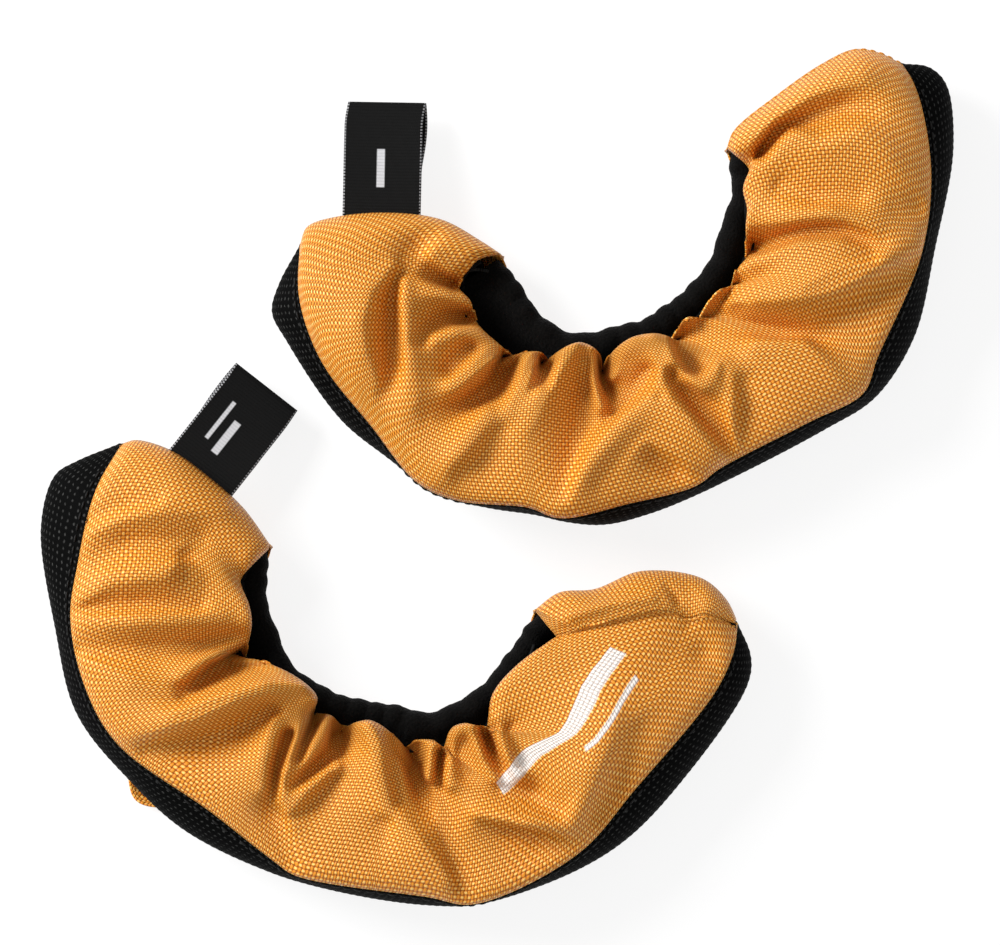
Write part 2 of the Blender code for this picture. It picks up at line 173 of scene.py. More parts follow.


# Each guard's outlines: (x, y) in plan, or (x, y, z). A fold is a line of (x, y, lift) that
# the top wall rises (+) or dips (-) along.
LEFT_GUARD = {
    "name": "left",
    "outer": [(-107, 9), (-119, 4), (-125, 0), (-129, -15), (-125, -43), (-119, -67), (-104, -86),
              (-87, -101), (-57, -114), (-15, -121), (10, -116), (34, -104), (54, -83), (70, -59),
              (71, -51), (67, -41)],
    "seam": [(-106, 9), (-113, -4), (-118, -25), (-120, -40), (-116, -59), (-107, -75), (-81, -94),
             (-63, -108), (-57, -112), (-20, -118), (-7, -120), (22, -106), (38, -88), (61, -60),
             (66, -49), (67, -42)],
    "heel_edge": [(-106, 9, 15), (-102, 10, 15), (-92, 7, 15), (-82, 0, 15), (-72, -9, 15), (-64, -20, 16)],
    "toe_edge": [(67, -42, 20), (58, -39, 27), (53, -40, 25), (47, -38, 28), (30, -41, 29), (16, -45, 25)],
    "toe_brow": [(67, -41, 15), (64, -35, 15), (57, -29, 15), (40, -27, 15), (27, -32, 15), (17, -33, 15),
                 (10, -38, 15)],
    "lip": [(-64, -20, 16), (-71, -27, 20), (-73, -30, 14), (-70, -36, 22), (-69, -41, 24), (-71, -49, 16),
            (-72, -52, 10), (-66, -52, 24), (-57, -56, 26), (-51, -61, 25), (-52, -67, 11), (-47, -67, 19),
            (-44, -71, 11), (-40, -69, 22), (-36, -68, 24), (-29, -73, 23), (-26, -77, 10), (-23, -74, 19),
            (-18, -74, 19), (-16, -78, 10), (-13, -70, 22), (-9, -69, 23), (-4, -73, 11), (-3, -68, 19),
            (-2, -61, 23), (5, -53, 23), (16, -45, 25)],
    "far_lip": [(-64, -20), (-66, -32), (-63, -44), (-58, -54), (-45, -62), (-30, -65), (-20, -67), (-8, -62),
                (0, -54), (7, -44), (10, -38)],
    "folds": [
        # heel
        [(-116, -14, -1), (-104, -9, -1.2), (-96, -7, -0.3)],
        [(-116, -16, 0.6), (-106, -11, 1), (-93, -9, 1), (-77, -9, 0.6)],
        [(-116, -25, -0.5), (-103, -19, -2), (-88, -19, -2)],
        [(-84, -18, -1.8), (-87, -22, -3), (-88, -27, -1.6)],
        [(-87, -27, -1.2), (-82, -31, -1.8), (-77, -33, -0.6)],
        [(-118, -36, 0.4), (-109, -29, 1.2), (-93, -27, 1.2), (-88, -25, 0.7)],
        [(-118, -37, -0.8), (-101, -36, -1.8), (-84, -36, -1.4)],
        [(-119, -41, 0.5), (-99, -40, 1.4), (-77, -40, 1.5), (-70, -41, 0.6)],
        [(-117, -49, -1), (-96, -49, -2.8), (-82, -48, -2.4), (-73, -45, -1)],
        [(-116, -52, 0.4), (-103, -58, 1.1), (-91, -62, 0.3)],
        [(-73, -47, 0.8), (-81, -51, 1.2), (-88, -56, 0.6)],
        [(-71, -50, -9), (-80, -54, -7), (-85, -58, -4.5), (-88, -61, -1.6)],
        # the big fold and the pleat beside it
        [(-106, -72, 0.6), (-95, -70, 2.6), (-85, -66, 3.8), (-75, -62, 4.2), (-65, -59, 4), (-55, -60, 2.4)],
        [(-98, -77, -1.4), (-84, -75, -4), (-72, -71, -3.8), (-64, -66, -1.2)],
        [(-62, -69, 1.8), (-65, -78, 2.4), (-66, -87, 1.2)],
        [(-59, -73, -2), (-62, -82, -3.2), (-63, -92, -3), (-58, -108, -1.4)],
        [(-52, -64, 3), (-56, -74, 3), (-60, -83, 2.4), (-62, -91, 0.8)],
        [(-51, -67, -9), (-54, -73, -4), (-56, -79, -2)],
        [(-48, -68, 2), (-51, -74, 2), (-55, -80, 1.6), (-60, -87, 1)],
        [(-45, -70, -8), (-46, -78, -4.4), (-53, -83, -2.4), (-58, -86, -1)],
        [(-46, -81, 1), (-54, -88, 1.2), (-59, -93, 0.5)],
        [(-46, -85, -1.6), (-52, -92, -2.2), (-57, -97, -0.8)],
        # the gathers of the middle
        [(-37, -70, 2.8), (-34, -76, 2.8), (-33, -84, 2), (-31, -94, 0.8)],
        [(-29, -81, -1.6), (-27, -90, -1.8)],
        [(-32, -97, -1.4), (-34, -103, -1)],
        [(-26, -77, -10), (-23, -85, -7.5), (-20, -92, -4)],
        [(-28, -95, 0.7), (-22, -104, 1.4), (-14, -113, 0.5)],
        [(-16, -92, -2.4), (-14, -102, -3), (-12, -110, -3.2), (-9, -118, -1)],
        [(-16, -78, -8), (-17, -84, -4), (-17, -90, -2.4)],
        [(-18, -76, 2), (-19, -84, 1)],
        [(-12, -71, 2.6), (-15, -78, 2.2), (-14, -86, 0.9)],
        [(-7, -71, 2.4), (-4, -78, 2), (-1, -84, 0.6)],
        [(-10, -75, 0.3), (-9, -84, -1)],
        [(-4, -72, -9), (-2, -79, -4), (2, -85, -1.4)],
        [(-2, -69, 2.2), (2, -77, 2), (5, -83, 0.7)],
        [(4, -71, -0.8), (6, -80, -1.8)],
        [(1, -88, -1.8), (9, -89, -3.6), (16, -93, -1.3)],
        [(-6, -95, 1.2), (8, -97, 2.2), (19, -99, 1.2)],
        [(-7, -97, -1.2), (3, -99, -4), (11, -101, -4.2), (20, -103, -1.3)],
        # toe
        [(32, -67, 1.4), (27, -81, 2), (22, -94, 1.4)],
        [(40, -71, -0.7), (34, -87, -1.6), (27, -96, -1.3)],
        [(47, -31, -0.6), (50, -35, -1.6)],
        [(54, -43, -1.4), (57, -50, -2.4), (60, -56, -1)],
        [(16, -44, -0.9), (27, -41, -1.3), (47, -39, -1)],
        [(20, -39, 1), (30, -36, 1.5), (43, -34, 1)],
        [(19, -45, -0.6), (21, -54, -1)],
    ],
    "cuts": (16.0, 35.0),
    "under_cuts": (16.0, 20.0),
    "toe_roll": (0.0, 1.0),
    "pucker": ((-98, -87), (-6.5, -6.5), 9.5),      # cloth that slips out below the webbing
    "label_slide": -0.7,
    "label_base": (-83, 2),
    "label_angle": 52.0,
    "label_reach": 29.0,
    "label_belly": 0.0,
}

RIGHT_GUARD = {
    "name": "right",
    "outer": [(-56, 65), (-62, 54), (-64, 46), (-60, 38), (-44, 15), (-27, 2), (-20, -4), (-3, -9),
              (10, -11), (28, -14), (42, -11), (61, -3), (92, 13), (106, 22), (117, 39), (123, 65),
              (128, 92), (126, 110), (121, 115), (113, 116)],
    "seam": [(-56, 65), (-56, 50), (-53, 39), (-48, 29), (-36, 14), (-23, -2), (-12, -7), (8, -9),
             (17, -12), (36, -8), (55, -3), (62, 2), (87, 15), (102, 23), (106, 33), (118, 61),
             (121, 82), (119, 101), (116, 111), (113, 116)],
    "heel_edge": [(-56, 65, 15), (-54, 70, 15), (-45, 73, 15), (-30, 74, 15), (-16, 72, 15), (-5, 66, 15),
                  (1, 62, 16)],
    "toe_edge": [(113, 116, 15), (107, 119, 15), (100, 120, 15), (91, 116, 15), (78, 107, 15), (66, 97, 15),
                 (64, 92, 16)],
    "lip": [(1, 62, 16), (-6, 61, 20), (-9, 57, 20), (-12, 53, 11), (-8, 49, 21), (-7, 44, 11), (-4, 40, 21),
            (1, 36, 19), (4, 33, 9), (8, 35, 21), (12, 35, 21), (14, 32, 11), (18, 36, 23), (23, 38, 25),
            (28, 35, 23), (29, 29, 9), (31, 34, 20), (37, 39, 25), (44, 40, 25), (48, 37, 11), (52, 44, 23),
            (56, 43, 14), (59, 49, 21), (62, 52, 22), (65, 51, 11), (66, 57, 22), (70, 61, 11), (69, 70, 22),
            (70, 75, 20), (68, 80, 21), (71, 86, 11), (66, 90, 20), (64, 92, 16)],
    "far_lip": [(1, 62), (6, 53), (13, 44), (20, 40), (34, 42), (41, 44), (50, 50), (58, 58), (63, 70),
                (66, 81), (64, 92)],
    "folds": [
        # heel
        [(-30, 58, 1), (-36, 52, 2), (-39, 43, 2.6), (-38, 34, 2), (-34, 25, 0.4)],
        [(-28, 56, -1.8), (-30, 49, -3.8), (-30, 40, -4.4), (-30, 31, -3.8), (-32, 24, -1)],
        [(-27, 54, 1.4), (-26, 44, 1.8), (-25, 33, 1.8), (-24, 21, 0.6)],
        [(-19, 68, -1), (-23, 64, -2), (-26, 60, -1.4)],
        [(-18, 62, 1.2), (-13, 58, 1)],
        [(-22, 58, -1.3), (-17, 55, -3.4), (-12, 53, -7)],
        [(-22, 52, 1), (-14, 51, 1.7), (-8, 49, 1.4)],
        [(-7, 44, -8), (-14, 44, -4.4), (-19, 42, -3), (-22, 38, -1)],
        [(-5, 41, 1.4), (-12, 40, 1.8), (-18, 38, 1.2)],
        [(-9, 36, -1.8), (-14, 30, -2.6)],
        [(-1, 35, 1.4), (-7, 30, 1.8), (-13, 25, 0.8)],
        [(3, 33, -10), (-1, 25, -8), (-9, 20, -5.4), (-19, 16, -1.5)],
        [(-3, 17, 0.7), (-11, 6, 1.5), (-19, -3, 0.6)],
        [(1, 12, -1), (-4, 4, -2), (-11, 0, -0.9)],
        # the gathers of the middle
        [(9, 33, 1.8), (7, 26, 1.8), (4, 19, 0.8)],
        [(14, 32, -8), (13, 26, -2.6)],
        [(21, 37, 3), (17, 31, 3), (12, 22, 2.2), (8, 14, 0.7)],
        [(24, 32, 0), (24, 24, -3), (23, 14, -3.6), (20, 4, -3), (18, -5, -1)],
        [(27, 35, 2), (27, 27, 1.8), (30, 18, 0.9)],
        [(29, 34, -10), (29, 28, -6), (31, 20, -2.6)],
        [(37, 39, 2.6), (33, 34, 2.2), (31, 28, 1.2)],
        [(30, 17, -1.8), (36, 21, -2.4), (42, 29, -1.3)],
        [(44, 39, 2.6), (45, 30, 2.4), (45, 23, 2.4)],
        [(18, -8, 0.6), (27, 6, 3.4), (36, 17, 4.4), (45, 23, 4.4), (52, 16, 4.2), (60, 7, 3.2),
         (64, 2, 0.8)],
        [(49, 29, -2.2), (56, 19, -3.4), (65, 8, -1.6)],
        [(50, 38, -6), (52, 33, -5), (55, 30, -3.6), (58, 31, -1)],
        [(46, 40, 2), (48, 33, 3), (51, 27, 3), (57, 25, 3), (61, 30, 2)],
        [(28, -3, 0.4), (36, 6, 1.8), (41, 11, 2.4), (54, 3, 1.2)],
        [(43, 6, -1), (49, 2, -2.4), (54, -1, -0.9)],
        [(63, 31, 1), (65, 21, 1.5), (66, 8, 0.6)],
        [(69, 26, -0.8), (68, 17, -1.5), (68, 10, -0.7)],
        # the long fold and the toe
        [(72, 36, 1), (85, 37, 1.6), (95, 26, 1.1), (102, 25, 0.4)],
        [(66, 50, 2), (77, 50, 3.2), (85, 51, 3.6), (95, 54, 3.6), (106, 59, 3.2), (117, 65, 1.2)],
        [(59, 46, -6), (67, 42, -5), (79, 40, -5), (90, 39, -4), (101, 47, -2.8), (117, 59, -1)],
        [(64, 51, -7), (69, 50, -1.5)],
        [(69, 63, -9), (76, 65, -5), (84, 68, -3), (96, 69, -2.2), (104, 65, -0.6)],
        [(69, 71, 1), (79, 72, 1.8), (92, 73, 2), (105, 69, 1.2), (106, 65, 0.5)],
        [(72, 60, 1.2), (84, 64, 1.7), (95, 64, 1.7), (104, 61, 0.9)],
        [(117, 75, -1.4), (111, 75, -0.6)],
        [(73, 87, 1.2), (82, 96, 2.4), (89, 92, 2), (101, 95, 2.4), (109, 89, 1.8), (116, 82, 0.4)],
        [(79, 81, -1.1), (88, 78, -1.8), (100, 78, -1.4)],
        [(74, 90, -5.5), (78, 96, -3.6), (87, 100, -2.4), (96, 103, -2), (104, 102, -0.5)],
        [(68, 92, 1.2), (77, 101, 2), (88, 108, 2), (102, 111, 1.8), (108, 109, 0.6)],
    ],
    "cuts": (30.0, 25.0),
    "under_cuts": (30.0, 25.0),
    "toe_roll": CLOSED_ROLL,
    "label_slide": 1.4,
    "label_base": (-33, 76),
    "label_angle": 89.0,
    "label_reach": 29.5,
    "label_belly": 1.4,
}

# ---------------------------------------------------------------- curves

def smooth_path(points, detail=12):
    """A dense centripetal Catmull-Rom curve through the points."""
    knots = np.array(points, float)
    ring = np.vstack([2 * knots[0] - knots[1], knots, 2 * knots[-1] - knots[-2]])
    f = np.linspace(0.0, 1.0, detail, endpoint=False)[:, None]
    pieces = []
    for a, b, c, d in zip(ring, ring[1:], ring[2:], ring[3:]):
        ab, bc, cd = (max(np.linalg.norm(q - p), 1e-6) ** 0.5 for p, q in ((a, b), (b, c), (c, d)))
        leave = (c - b) + bc * ((b - a) / ab - (c - a) / (ab + bc))
        arrive = (c - b) + bc * ((d - c) / cd - (d - b) / (bc + cd))
        pieces.append((2 * f ** 3 - 3 * f ** 2 + 1) * b + (f ** 3 - 2 * f ** 2 + f) * leave
                      + (3 * f ** 2 - 2 * f ** 3) * c + (f ** 3 - f ** 2) * arrive)
    return np.vstack(pieces + [knots[-1:]])


def run_length(path):
    """Distance along the path at each of its points."""
    steps = np.linalg.norm(np.diff(path, axis=0), axis=1)
    return np.concatenate([[0.0], np.cumsum(steps)])


def at(path, fractions):
    """Points of the path at these fractions of its length."""
    run = run_length(path)
    wanted = np.asarray(fractions, float) * run[-1]
    return np.stack([np.interp(wanted, run, path[:, k]) for k in range(path.shape[1])], axis=-1)


def with_height(plan, height):
    return np.column_stack([plan[:, :2], np.broadcast_to(height, len(plan))])


def averaged(values, reach):
    """Running mean over reach entries each way, with the ends held."""
    padded = np.concatenate([np.repeat(values[:1], reach, 0), values, np.repeat(values[-1:], reach, 0)])
    total = sum(padded[k:k + len(values)] for k in range(2 * reach + 1))
    return total / (2 * reach + 1)


def plan_normal(path):
    """Unit vectors in plan to the left of the path's direction."""
    way = np.gradient(path[:, :2], axis=0)
    way /= np.linalg.norm(way, axis=1)[:, None]
    return np.column_stack([-way[:, 1], way[:, 0]])


def swell(path):
    """0 at the ends of a path, 1 where the pouch has its full height."""
    run = run_length(path)
    edge = np.minimum(run, run[-1] - run) / END_TAPER
    return np.sin(0.5 * math.pi * np.clip(edge, 0.0, 1.0))


def fitted_waves(path, wanted):
    """The path with its rises and dips scaled so that it is as long as the cloth sewn along it."""
    mean = averaged(path[:, 2:], 30)[:, 0]
    low, high = 0.2, 2.5
    for _ in range(30):
        middle = 0.5 * (low + high)
        trial = path.copy()
        trial[:, 2] = mean + middle * (path[:, 2] - mean)
        if run_length(trial)[-1] < wanted:
            low = middle
        else:
            high = middle
    return trial


# ---------------------------------------------------------------- cloth

def blended(edges, a, b):
    """Coons patch between the seam, lip, heel and toe edges, at fractions a along and b across."""
    seam, lip = at(edges["seam"], a), at(edges["lip"], a)
    heel, toe = at(edges["heel"], b), at(edges["toe"], b)
    a, b = a[:, None, None], b[None, :, None]
    ruled = (1 - b) * seam[:, None] + b * lip[:, None] + (1 - a) * heel[None] + a * toe[None]
    corners = ((1 - a) * (1 - b) * seam[0] + a * (1 - b) * seam[-1]
               + (1 - a) * b * lip[0] + a * b * lip[-1])
    return ruled - corners


def flat_cut(edges, cuts):
    """Corners of the strip before sewing: heel seam, toe seam, heel lip, toe lip."""
    length = run_length(edges["seam"])[-1]
    heel_cut, toe_cut = cuts
    heel_depth = math.sqrt(run_length(edges["heel"])[-1] ** 2 - heel_cut ** 2)
    toe_depth = math.sqrt(run_length(edges["toe"])[-1] ** 2 - toe_cut ** 2)
    return np.array([(0.0, 0.0), (length, 0.0), (heel_cut, heel_depth), (length - toe_cut, toe_depth)])


def flat_grid(corners, points):
    """The laid grid on the flat strip, its rows and columns as far apart as the cloth runs on average."""
    a = length_fractions(points, 0).mean(axis=1)[:, None, None]
    b = length_fractions(points, 1).mean(axis=0)[None, :, None]
    return ((1 - a) * (1 - b) * corners[0] + a * (1 - b) * corners[1]
            + (1 - a) * b * corners[2] + a * b * corners[3])


def length_fractions(points, axis):
    """How far along its grid line each point lies, as a fraction of the line's length."""
    run = np.cumsum(np.linalg.norm(np.diff(points, axis=axis), axis=-1), axis=axis)
    run = np.concatenate([0.0 * run.take([0], axis), run], axis=axis)
    return run / run.take([-1], axis)


def line_pull(plan, lines):
    """How strongly the fold lines hold each plan point, and the lift that they hold it at."""
    x, y = plan[..., 0], plan[..., 1]
    grip = np.zeros_like(x)
    lift = np.zeros_like(x)
    for line in lines:
        nearest = np.full_like(x, 1e9)
        height = np.zeros_like(x)
        for (x0, y0, z0), (x1, y1, z1) in zip(line, line[1:]):
            dx, dy = x1 - x0, y1 - y0
            f = np.clip(((x - x0) * dx + (y - y0) * dy) / (dx * dx + dy * dy), 0.0, 1.0)
            far = (x - x0 - f * dx) ** 2 + (y - y0 - f * dy) ** 2
            height = np.where(far < nearest, FOLD_GAIN * (z0 + f * (z1 - z0)), height)
            nearest = np.minimum(nearest, far)
        weight = np.exp(-nearest / FOLD_WIDTH ** 2)
        grip += weight
        lift += weight * height
    return grip, lift / np.maximum(grip, 1e-9)


def taut_heights(plan, heights, grip, target, load):
    """Heights of a taut skin under an even load, held at its edges and, softly, at its fold lines.

    Red-black over-relaxation of the membrane equation on the grid."""
    step_a = np.linalg.norm(np.diff(plan, axis=0), axis=-1) + 0.05
    step_b = np.linalg.norm(np.diff(plan, axis=1), axis=-1) + 0.05
    before_a, after_a = (1.0 / s[:, 1:-1] ** 2 for s in (step_a[:-1], step_a[1:]))
    before_b, after_b = (1.0 / s[1:-1] ** 2 for s in (step_b[:, :-1], step_b[:, 1:]))
    own = before_a + after_a + before_b + after_b
    hold = FOLD_GRIP * own * np.minimum(grip[1:-1, 1:-1], 1.0) ** 2
    pulled = hold * target[1:-1, 1:-1] + load
    i, j = np.indices(own.shape)
    colours = [(i + j) % 2 == k for k in (0, 1)]
    z = heights.copy()
    for _ in range(MEMBRANE_PASSES):
        for colour in colours:
            wanted = (before_a * z[:-2, 1:-1] + after_a * z[2:, 1:-1] + before_b * z[1:-1, :-2]
                      + after_b * z[1:-1, 2:] + pulled) / (own + hold)
            inner = z[1:-1, 1:-1]
            inner += np.where(colour, OVER_RELAX * (wanted - inner), 0.0)
    return z


def quarter_round(distance, radius):
    """0 at an edge, rising as a quarter circle to 1 at the radius."""
    f = np.clip(distance / radius, 0.0, 1.0)
    return np.sqrt(1.0 - (1.0 - f) ** 2)


def lay_wall(edges, cuts, shape):
    """Lays one wall between its four edges: a taut, slightly blown skin creased along its folds.

    Returns the grid of points and the same grid on the flat strip."""
    a = np.linspace(0.0, 1.0, WALL_GRID[0] + 1)
    b = np.linspace(0.0, 1.0, WALL_GRID[1] + 1)
    points = blended(edges, a, b)
    plan = points[..., :2]
    across = np.cumsum(np.linalg.norm(np.diff(plan, axis=1), axis=-1), axis=1)
    across = np.concatenate([np.zeros((len(a), 1)), across], axis=1)
    along = np.cumsum(np.linalg.norm(np.diff(plan, axis=0), axis=-1), axis=0)
    along = np.concatenate([np.zeros((1, len(b))), along], axis=0)
    rolls = ((across, shape["seam_roll"]), (across[:, -1:] - across, shape["lip_roll"]),
             (along, shape["heel_roll"]), (along[-1:] - along, shape["toe_roll"]))
    fall = sum(drop * (1.0 - quarter_round(distance, radius)) for distance, (drop, radius) in rolls)
    edge_heights = points[..., 2] + fall
    nothing = np.zeros(plan.shape[:2])
    smooth = taut_heights(plan, edge_heights, nothing, nothing, shape["load"])
    grip, lift = line_pull(plan, shape["folds"])
    folded = taut_heights(plan, smooth, grip, smooth + lift, shape["load"])
    for _ in range(SOFTENING):
        folded[1:-1, 1:-1] = (0.5 * folded[1:-1, 1:-1] + 0.125 * (folded[:-2, 1:-1] + folded[2:, 1:-1]
                              + folded[1:-1, :-2] + folded[1:-1, 2:]))
    floor = points[:, -1:, 2] - shape["lip_slope"] * (across[:, -1:] - across)
    laid = np.maximum(folded - fall, floor)
    points[..., 2] = np.clip(laid, shape["lowest"], shape["highest"])
    return points, flat_grid(flat_cut(edges, cuts), points)


def cloth_normals(points):
    normal = np.cross(np.gradient(points, axis=0), np.gradient(points, axis=1))
    return normal / (np.linalg.norm(normal, axis=-1, keepdims=True) + 1e-9)


# ---------------------------------------------------------------- meshes

def grid_object(name, points, uv, thickness, offset, smooth_levels, material):
    """A sheet of this thickness from a grid of points, with uv, if any, as its flat cloth coordinates."""
    count_a, count_b = points.shape[:2]
    flat_points = ((points + PLAN_SHIFT) * MM).reshape(-1, 3)
    index = np.arange(count_a * count_b).reshape(count_a, count_b)
    quads = np.stack([index[:-1, :-1], index[1:, :-1], index[1:, 1:], index[:-1, 1:]], -1).reshape(-1, 4)
    mesh = bpy.data.meshes.new(name)
    mesh.from_pydata(flat_points.tolist(), [], quads.tolist())
    if uv is not None:
        layer = mesh.uv_layers.new(name="cloth")
        layer.data.foreach_set("uv", uv.reshape(-1, 2)[quads.reshape(-1)].ravel())
    obj = bpy.data.objects.new(name, mesh)
    bpy.context.scene.collection.objects.link(obj)
    if smooth_levels:
        smooth = obj.modifiers.new("smooth", "SUBSURF")
        smooth.levels = smooth.render_levels = smooth_levels
    shell = obj.modifiers.new("thickness", "SOLIDIFY")
    shell.thickness = thickness * MM
    shell.offset = offset
    return finished(obj, material)


def finished(obj, material):
    """Applies the modifiers, so that the final mesh is what rides and bends."""
    bpy.context.view_layer.update()
    evaluated = obj.evaluated_get(bpy.context.evaluated_depsgraph_get())
    mesh = bpy.data.meshes.new_from_object(evaluated)
    obj.modifiers.clear()
    obj.data = mesh
    mesh.name = obj.name
    mesh.shade_smooth()
    mesh.materials.clear()
    mesh.materials.append(material)
    return obj


def swept(line, section):
    """Grid of a section swept along a line: its rows are (out, up), and out is to the line's left."""
    normal = plan_normal(averaged(line, 6))
    grid = np.zeros((len(line), len(section), 3))
    for j, (out, up) in enumerate(section):
        grid[:, j, :2] = line[:, :2] + normal * out
        grid[:, j, 2] = line[:, 2] + up
    return grid


def tube_object(name, line, radius, material):
    """A round cord along the line, with closed ends."""
    data = bpy.data.curves.new(name, "CURVE")
    data.dimensions = "3D"
    data.bevel_depth = radius * MM
    data.bevel_resolution = 2
    data.use_fill_caps = True
    run = data.splines.new("POLY")
    run.points.add(len(line) - 1)
    for knot, point in zip(run.points, (line + PLAN_SHIFT) * MM):
        knot.co = (*point, 1.0)
    obj = bpy.data.objects.new(name, data)
    bpy.context.scene.collection.objects.link(obj)
    bpy.context.view_layer.update()
    mesh = bpy.data.meshes.new_from_object(obj.evaluated_get(bpy.context.evaluated_depsgraph_get()))
    bpy.data.objects.remove(obj)
    solid = bpy.data.objects.new(name, mesh)
    bpy.context.scene.collection.objects.link(solid)
    return finished(solid, material)


def stitch_object(name, line, normals, pitch, share, radius, material):
    """A row of separate stitches along the line, each a slim pod that sinks into the cloth at its ends."""
    count = int(run_length(line)[-1] / pitch)
    fractions = np.linspace(0, 1, count + 1)
    centres = at(line, fractions[:-1] + 0.5 / count)
    tips = at(line, fractions)
    ups = at(normals, fractions[:-1] + 0.5 / count)
    bm = bmesh.new()
    for centre, tip, after, up in zip(centres, tips, tips[1:], ups):
        way = (after - tip) * 0.5 * share
        side = np.cross(way, up)
        side *= radius / (np.linalg.norm(side) + 1e-9)
        rise = up / (np.linalg.norm(up) + 1e-9) * radius
        rings = []
        for f in (-1.0, -0.8, -0.35, 0.35, 0.8, 1.0):
            fat = math.sqrt(max(0.0, 1.0 - f * f)) * 0.85 + 0.15
            middle = centre + way * f + rise * (0.5 * (1.0 - f * f) - 0.1)
            ring = []
            for k in range(6):
                angle = math.tau * k / 6
                spot = middle + fat * (side * math.cos(angle) + rise * math.sin(angle))
                ring.append(bm.verts.new((spot + PLAN_SHIFT) * MM))
            rings.append(ring)
        for low, high in zip(rings, rings[1:]):
            for k in range(6):
                bm.faces.new((low[k], low[(k + 1) % 6], high[(k + 1) % 6], high[k]))
        bm.faces.new(rings[0][::-1])
        bm.faces.new(rings[-1])
    bmesh.ops.recalc_face_normals(bm, faces=bm.faces)
    mesh = bpy.data.meshes.new(name)
    bm.to_mesh(mesh)
    bm.free()
    obj = bpy.data.objects.new(name, mesh)
    bpy.context.scene.collection.objects.link(obj)
    return finished(obj, material)


# ---------------------------------------------------------------- materials

def put(tree, socket, value):
    """Links a node's output to the socket, or sets the socket's own value."""
    if isinstance(value, bpy.types.NodeSocket):
        tree.links.new(value, socket)
    else:
        socket.default_value = value


def calc(tree, operation, *values):
    node = tree.nodes.new("ShaderNodeMath")
    node.operation = operation
    for socket, value in zip(node.inputs, values):
        put(tree, socket, value)
    return node.outputs[0]


def mixed(tree, factor, first, second):
    node = tree.nodes.new("ShaderNodeMix")
    node.data_type = "RGBA"
    put(tree, node.inputs[0], factor)
    put(tree, node.inputs[6], first)
    put(tree, node.inputs[7], second)
    return node.outputs[2]


def ramp(tree, value, stops):
    node = tree.nodes.new("ShaderNodeValToRGB")
    elements = node.color_ramp.elements
    while len(elements) < len(stops):
        elements.new(0.5)
    for element, (place, colour) in zip(elements, stops):
        element.position = place
        element.color = (*colour, 1.0)
    put(tree, node.inputs[0], value)
    return node.outputs[0]


def noise(tree, vector, scale, detail=2.0):
    node = tree.nodes.new("ShaderNodeTexNoise")
    node.inputs["Scale"].default_value = scale
    node.inputs["Detail"].default_value = detail
    tree.links.new(vector, node.inputs["Vector"])
    return node.outputs[0]


def surface(tree, shader, colour, height, depth):
    """Links the colour, and the height from 0 to 1 as relief of this depth in millimetres."""
    tree.links.new(colour, shader.inputs["Base Color"])
    node = tree.nodes.new("ShaderNodeBump")
    node.inputs["Strength"].default_value = 1.0
    node.inputs["Distance"].default_value = depth * MM
    tree.links.new(height, node.inputs["Height"])
    tree.links.new(node.outputs[0], shader.inputs["Normal"])


def cloth_coordinates(tree):
    """Along and across sockets, in millimetres on the flat cloth, and the vector itself."""
    node = tree.nodes.new("ShaderNodeUVMap")
    node.uv_map = "cloth"
    split = tree.nodes.new("ShaderNodeSeparateXYZ")
    tree.links.new(node.outputs[0], split.inputs[0])
    return split.outputs[0], split.outputs[1], node.outputs[0]


def object_vector(tree):
    return tree.nodes.new("ShaderNodeTexCoord").outputs["Object"]


def new_material(name, roughness, specular, sheen=0.0, sheen_tint=(1.0, 1.0, 1.0)):
    material = bpy.data.materials.new(name)
    material.use_nodes = True
    tree = material.node_tree
    shader = tree.nodes["Principled BSDF"]
    shader.inputs["Roughness"].default_value = roughness
    shader.inputs["Specular IOR Level"].default_value = specular
    shader.inputs["Sheen Weight"].default_value = sheen
    shader.inputs["Sheen Tint"].default_value = (*sheen_tint, 1.0)
    return material, tree, shader


def plain_weave(tree, along, across, pitch_along, pitch_across, reach):
    """Height 0 to 1 of a plain weave, an oval float at each crossing, and 1 where a float runs along."""
    u = calc(tree, "DIVIDE", along, pitch_along)
    v = calc(tree, "DIVIDE", across, pitch_across)
    cell_u = calc(tree, "FLOOR", u)
    cell_v = calc(tree, "FLOOR", v)
    off_u = calc(tree, "SUBTRACT", calc(tree, "SUBTRACT", u, cell_u), 0.5)
    off_v = calc(tree, "SUBTRACT", calc(tree, "SUBTRACT", v, cell_v), 0.5)
    odd = calc(tree, "FLOORED_MODULO", calc(tree, "ADD", cell_u, cell_v), 2.0)
    gain = reach - 0.5
    half_u = calc(tree, "MULTIPLY_ADD", odd, gain, 0.5)
    half_v = calc(tree, "MULTIPLY_ADD", odd, -gain, reach)
    far_u = calc(tree, "POWER", calc(tree, "ABSOLUTE", calc(tree, "DIVIDE", off_u, half_u)), 2.0)
    far_v = calc(tree, "POWER", calc(tree, "ABSOLUTE", calc(tree, "DIVIDE", off_v, half_v)), 2.0)
    left = calc(tree, "SUBTRACT", 1.0, calc(tree, "ADD", far_u, far_v))
    return calc(tree, "SQRT", calc(tree, "MAXIMUM", left, 0.0)), odd


def band_mask(tree, value, low, high, soft=0.15):
    """1 where the value lies between low and high."""
    rise = tree.nodes.new("ShaderNodeMapRange")
    fall = tree.nodes.new("ShaderNodeMapRange")
    for node, start, end in ((rise, low - soft, low + soft), (fall, high + soft, high - soft)):
        put(tree, node.inputs[0], value)
        node.inputs[1].default_value = start
        node.inputs[2].default_value = end
    return calc(tree, "MULTIPLY", rise.outputs[0], fall.outputs[0])


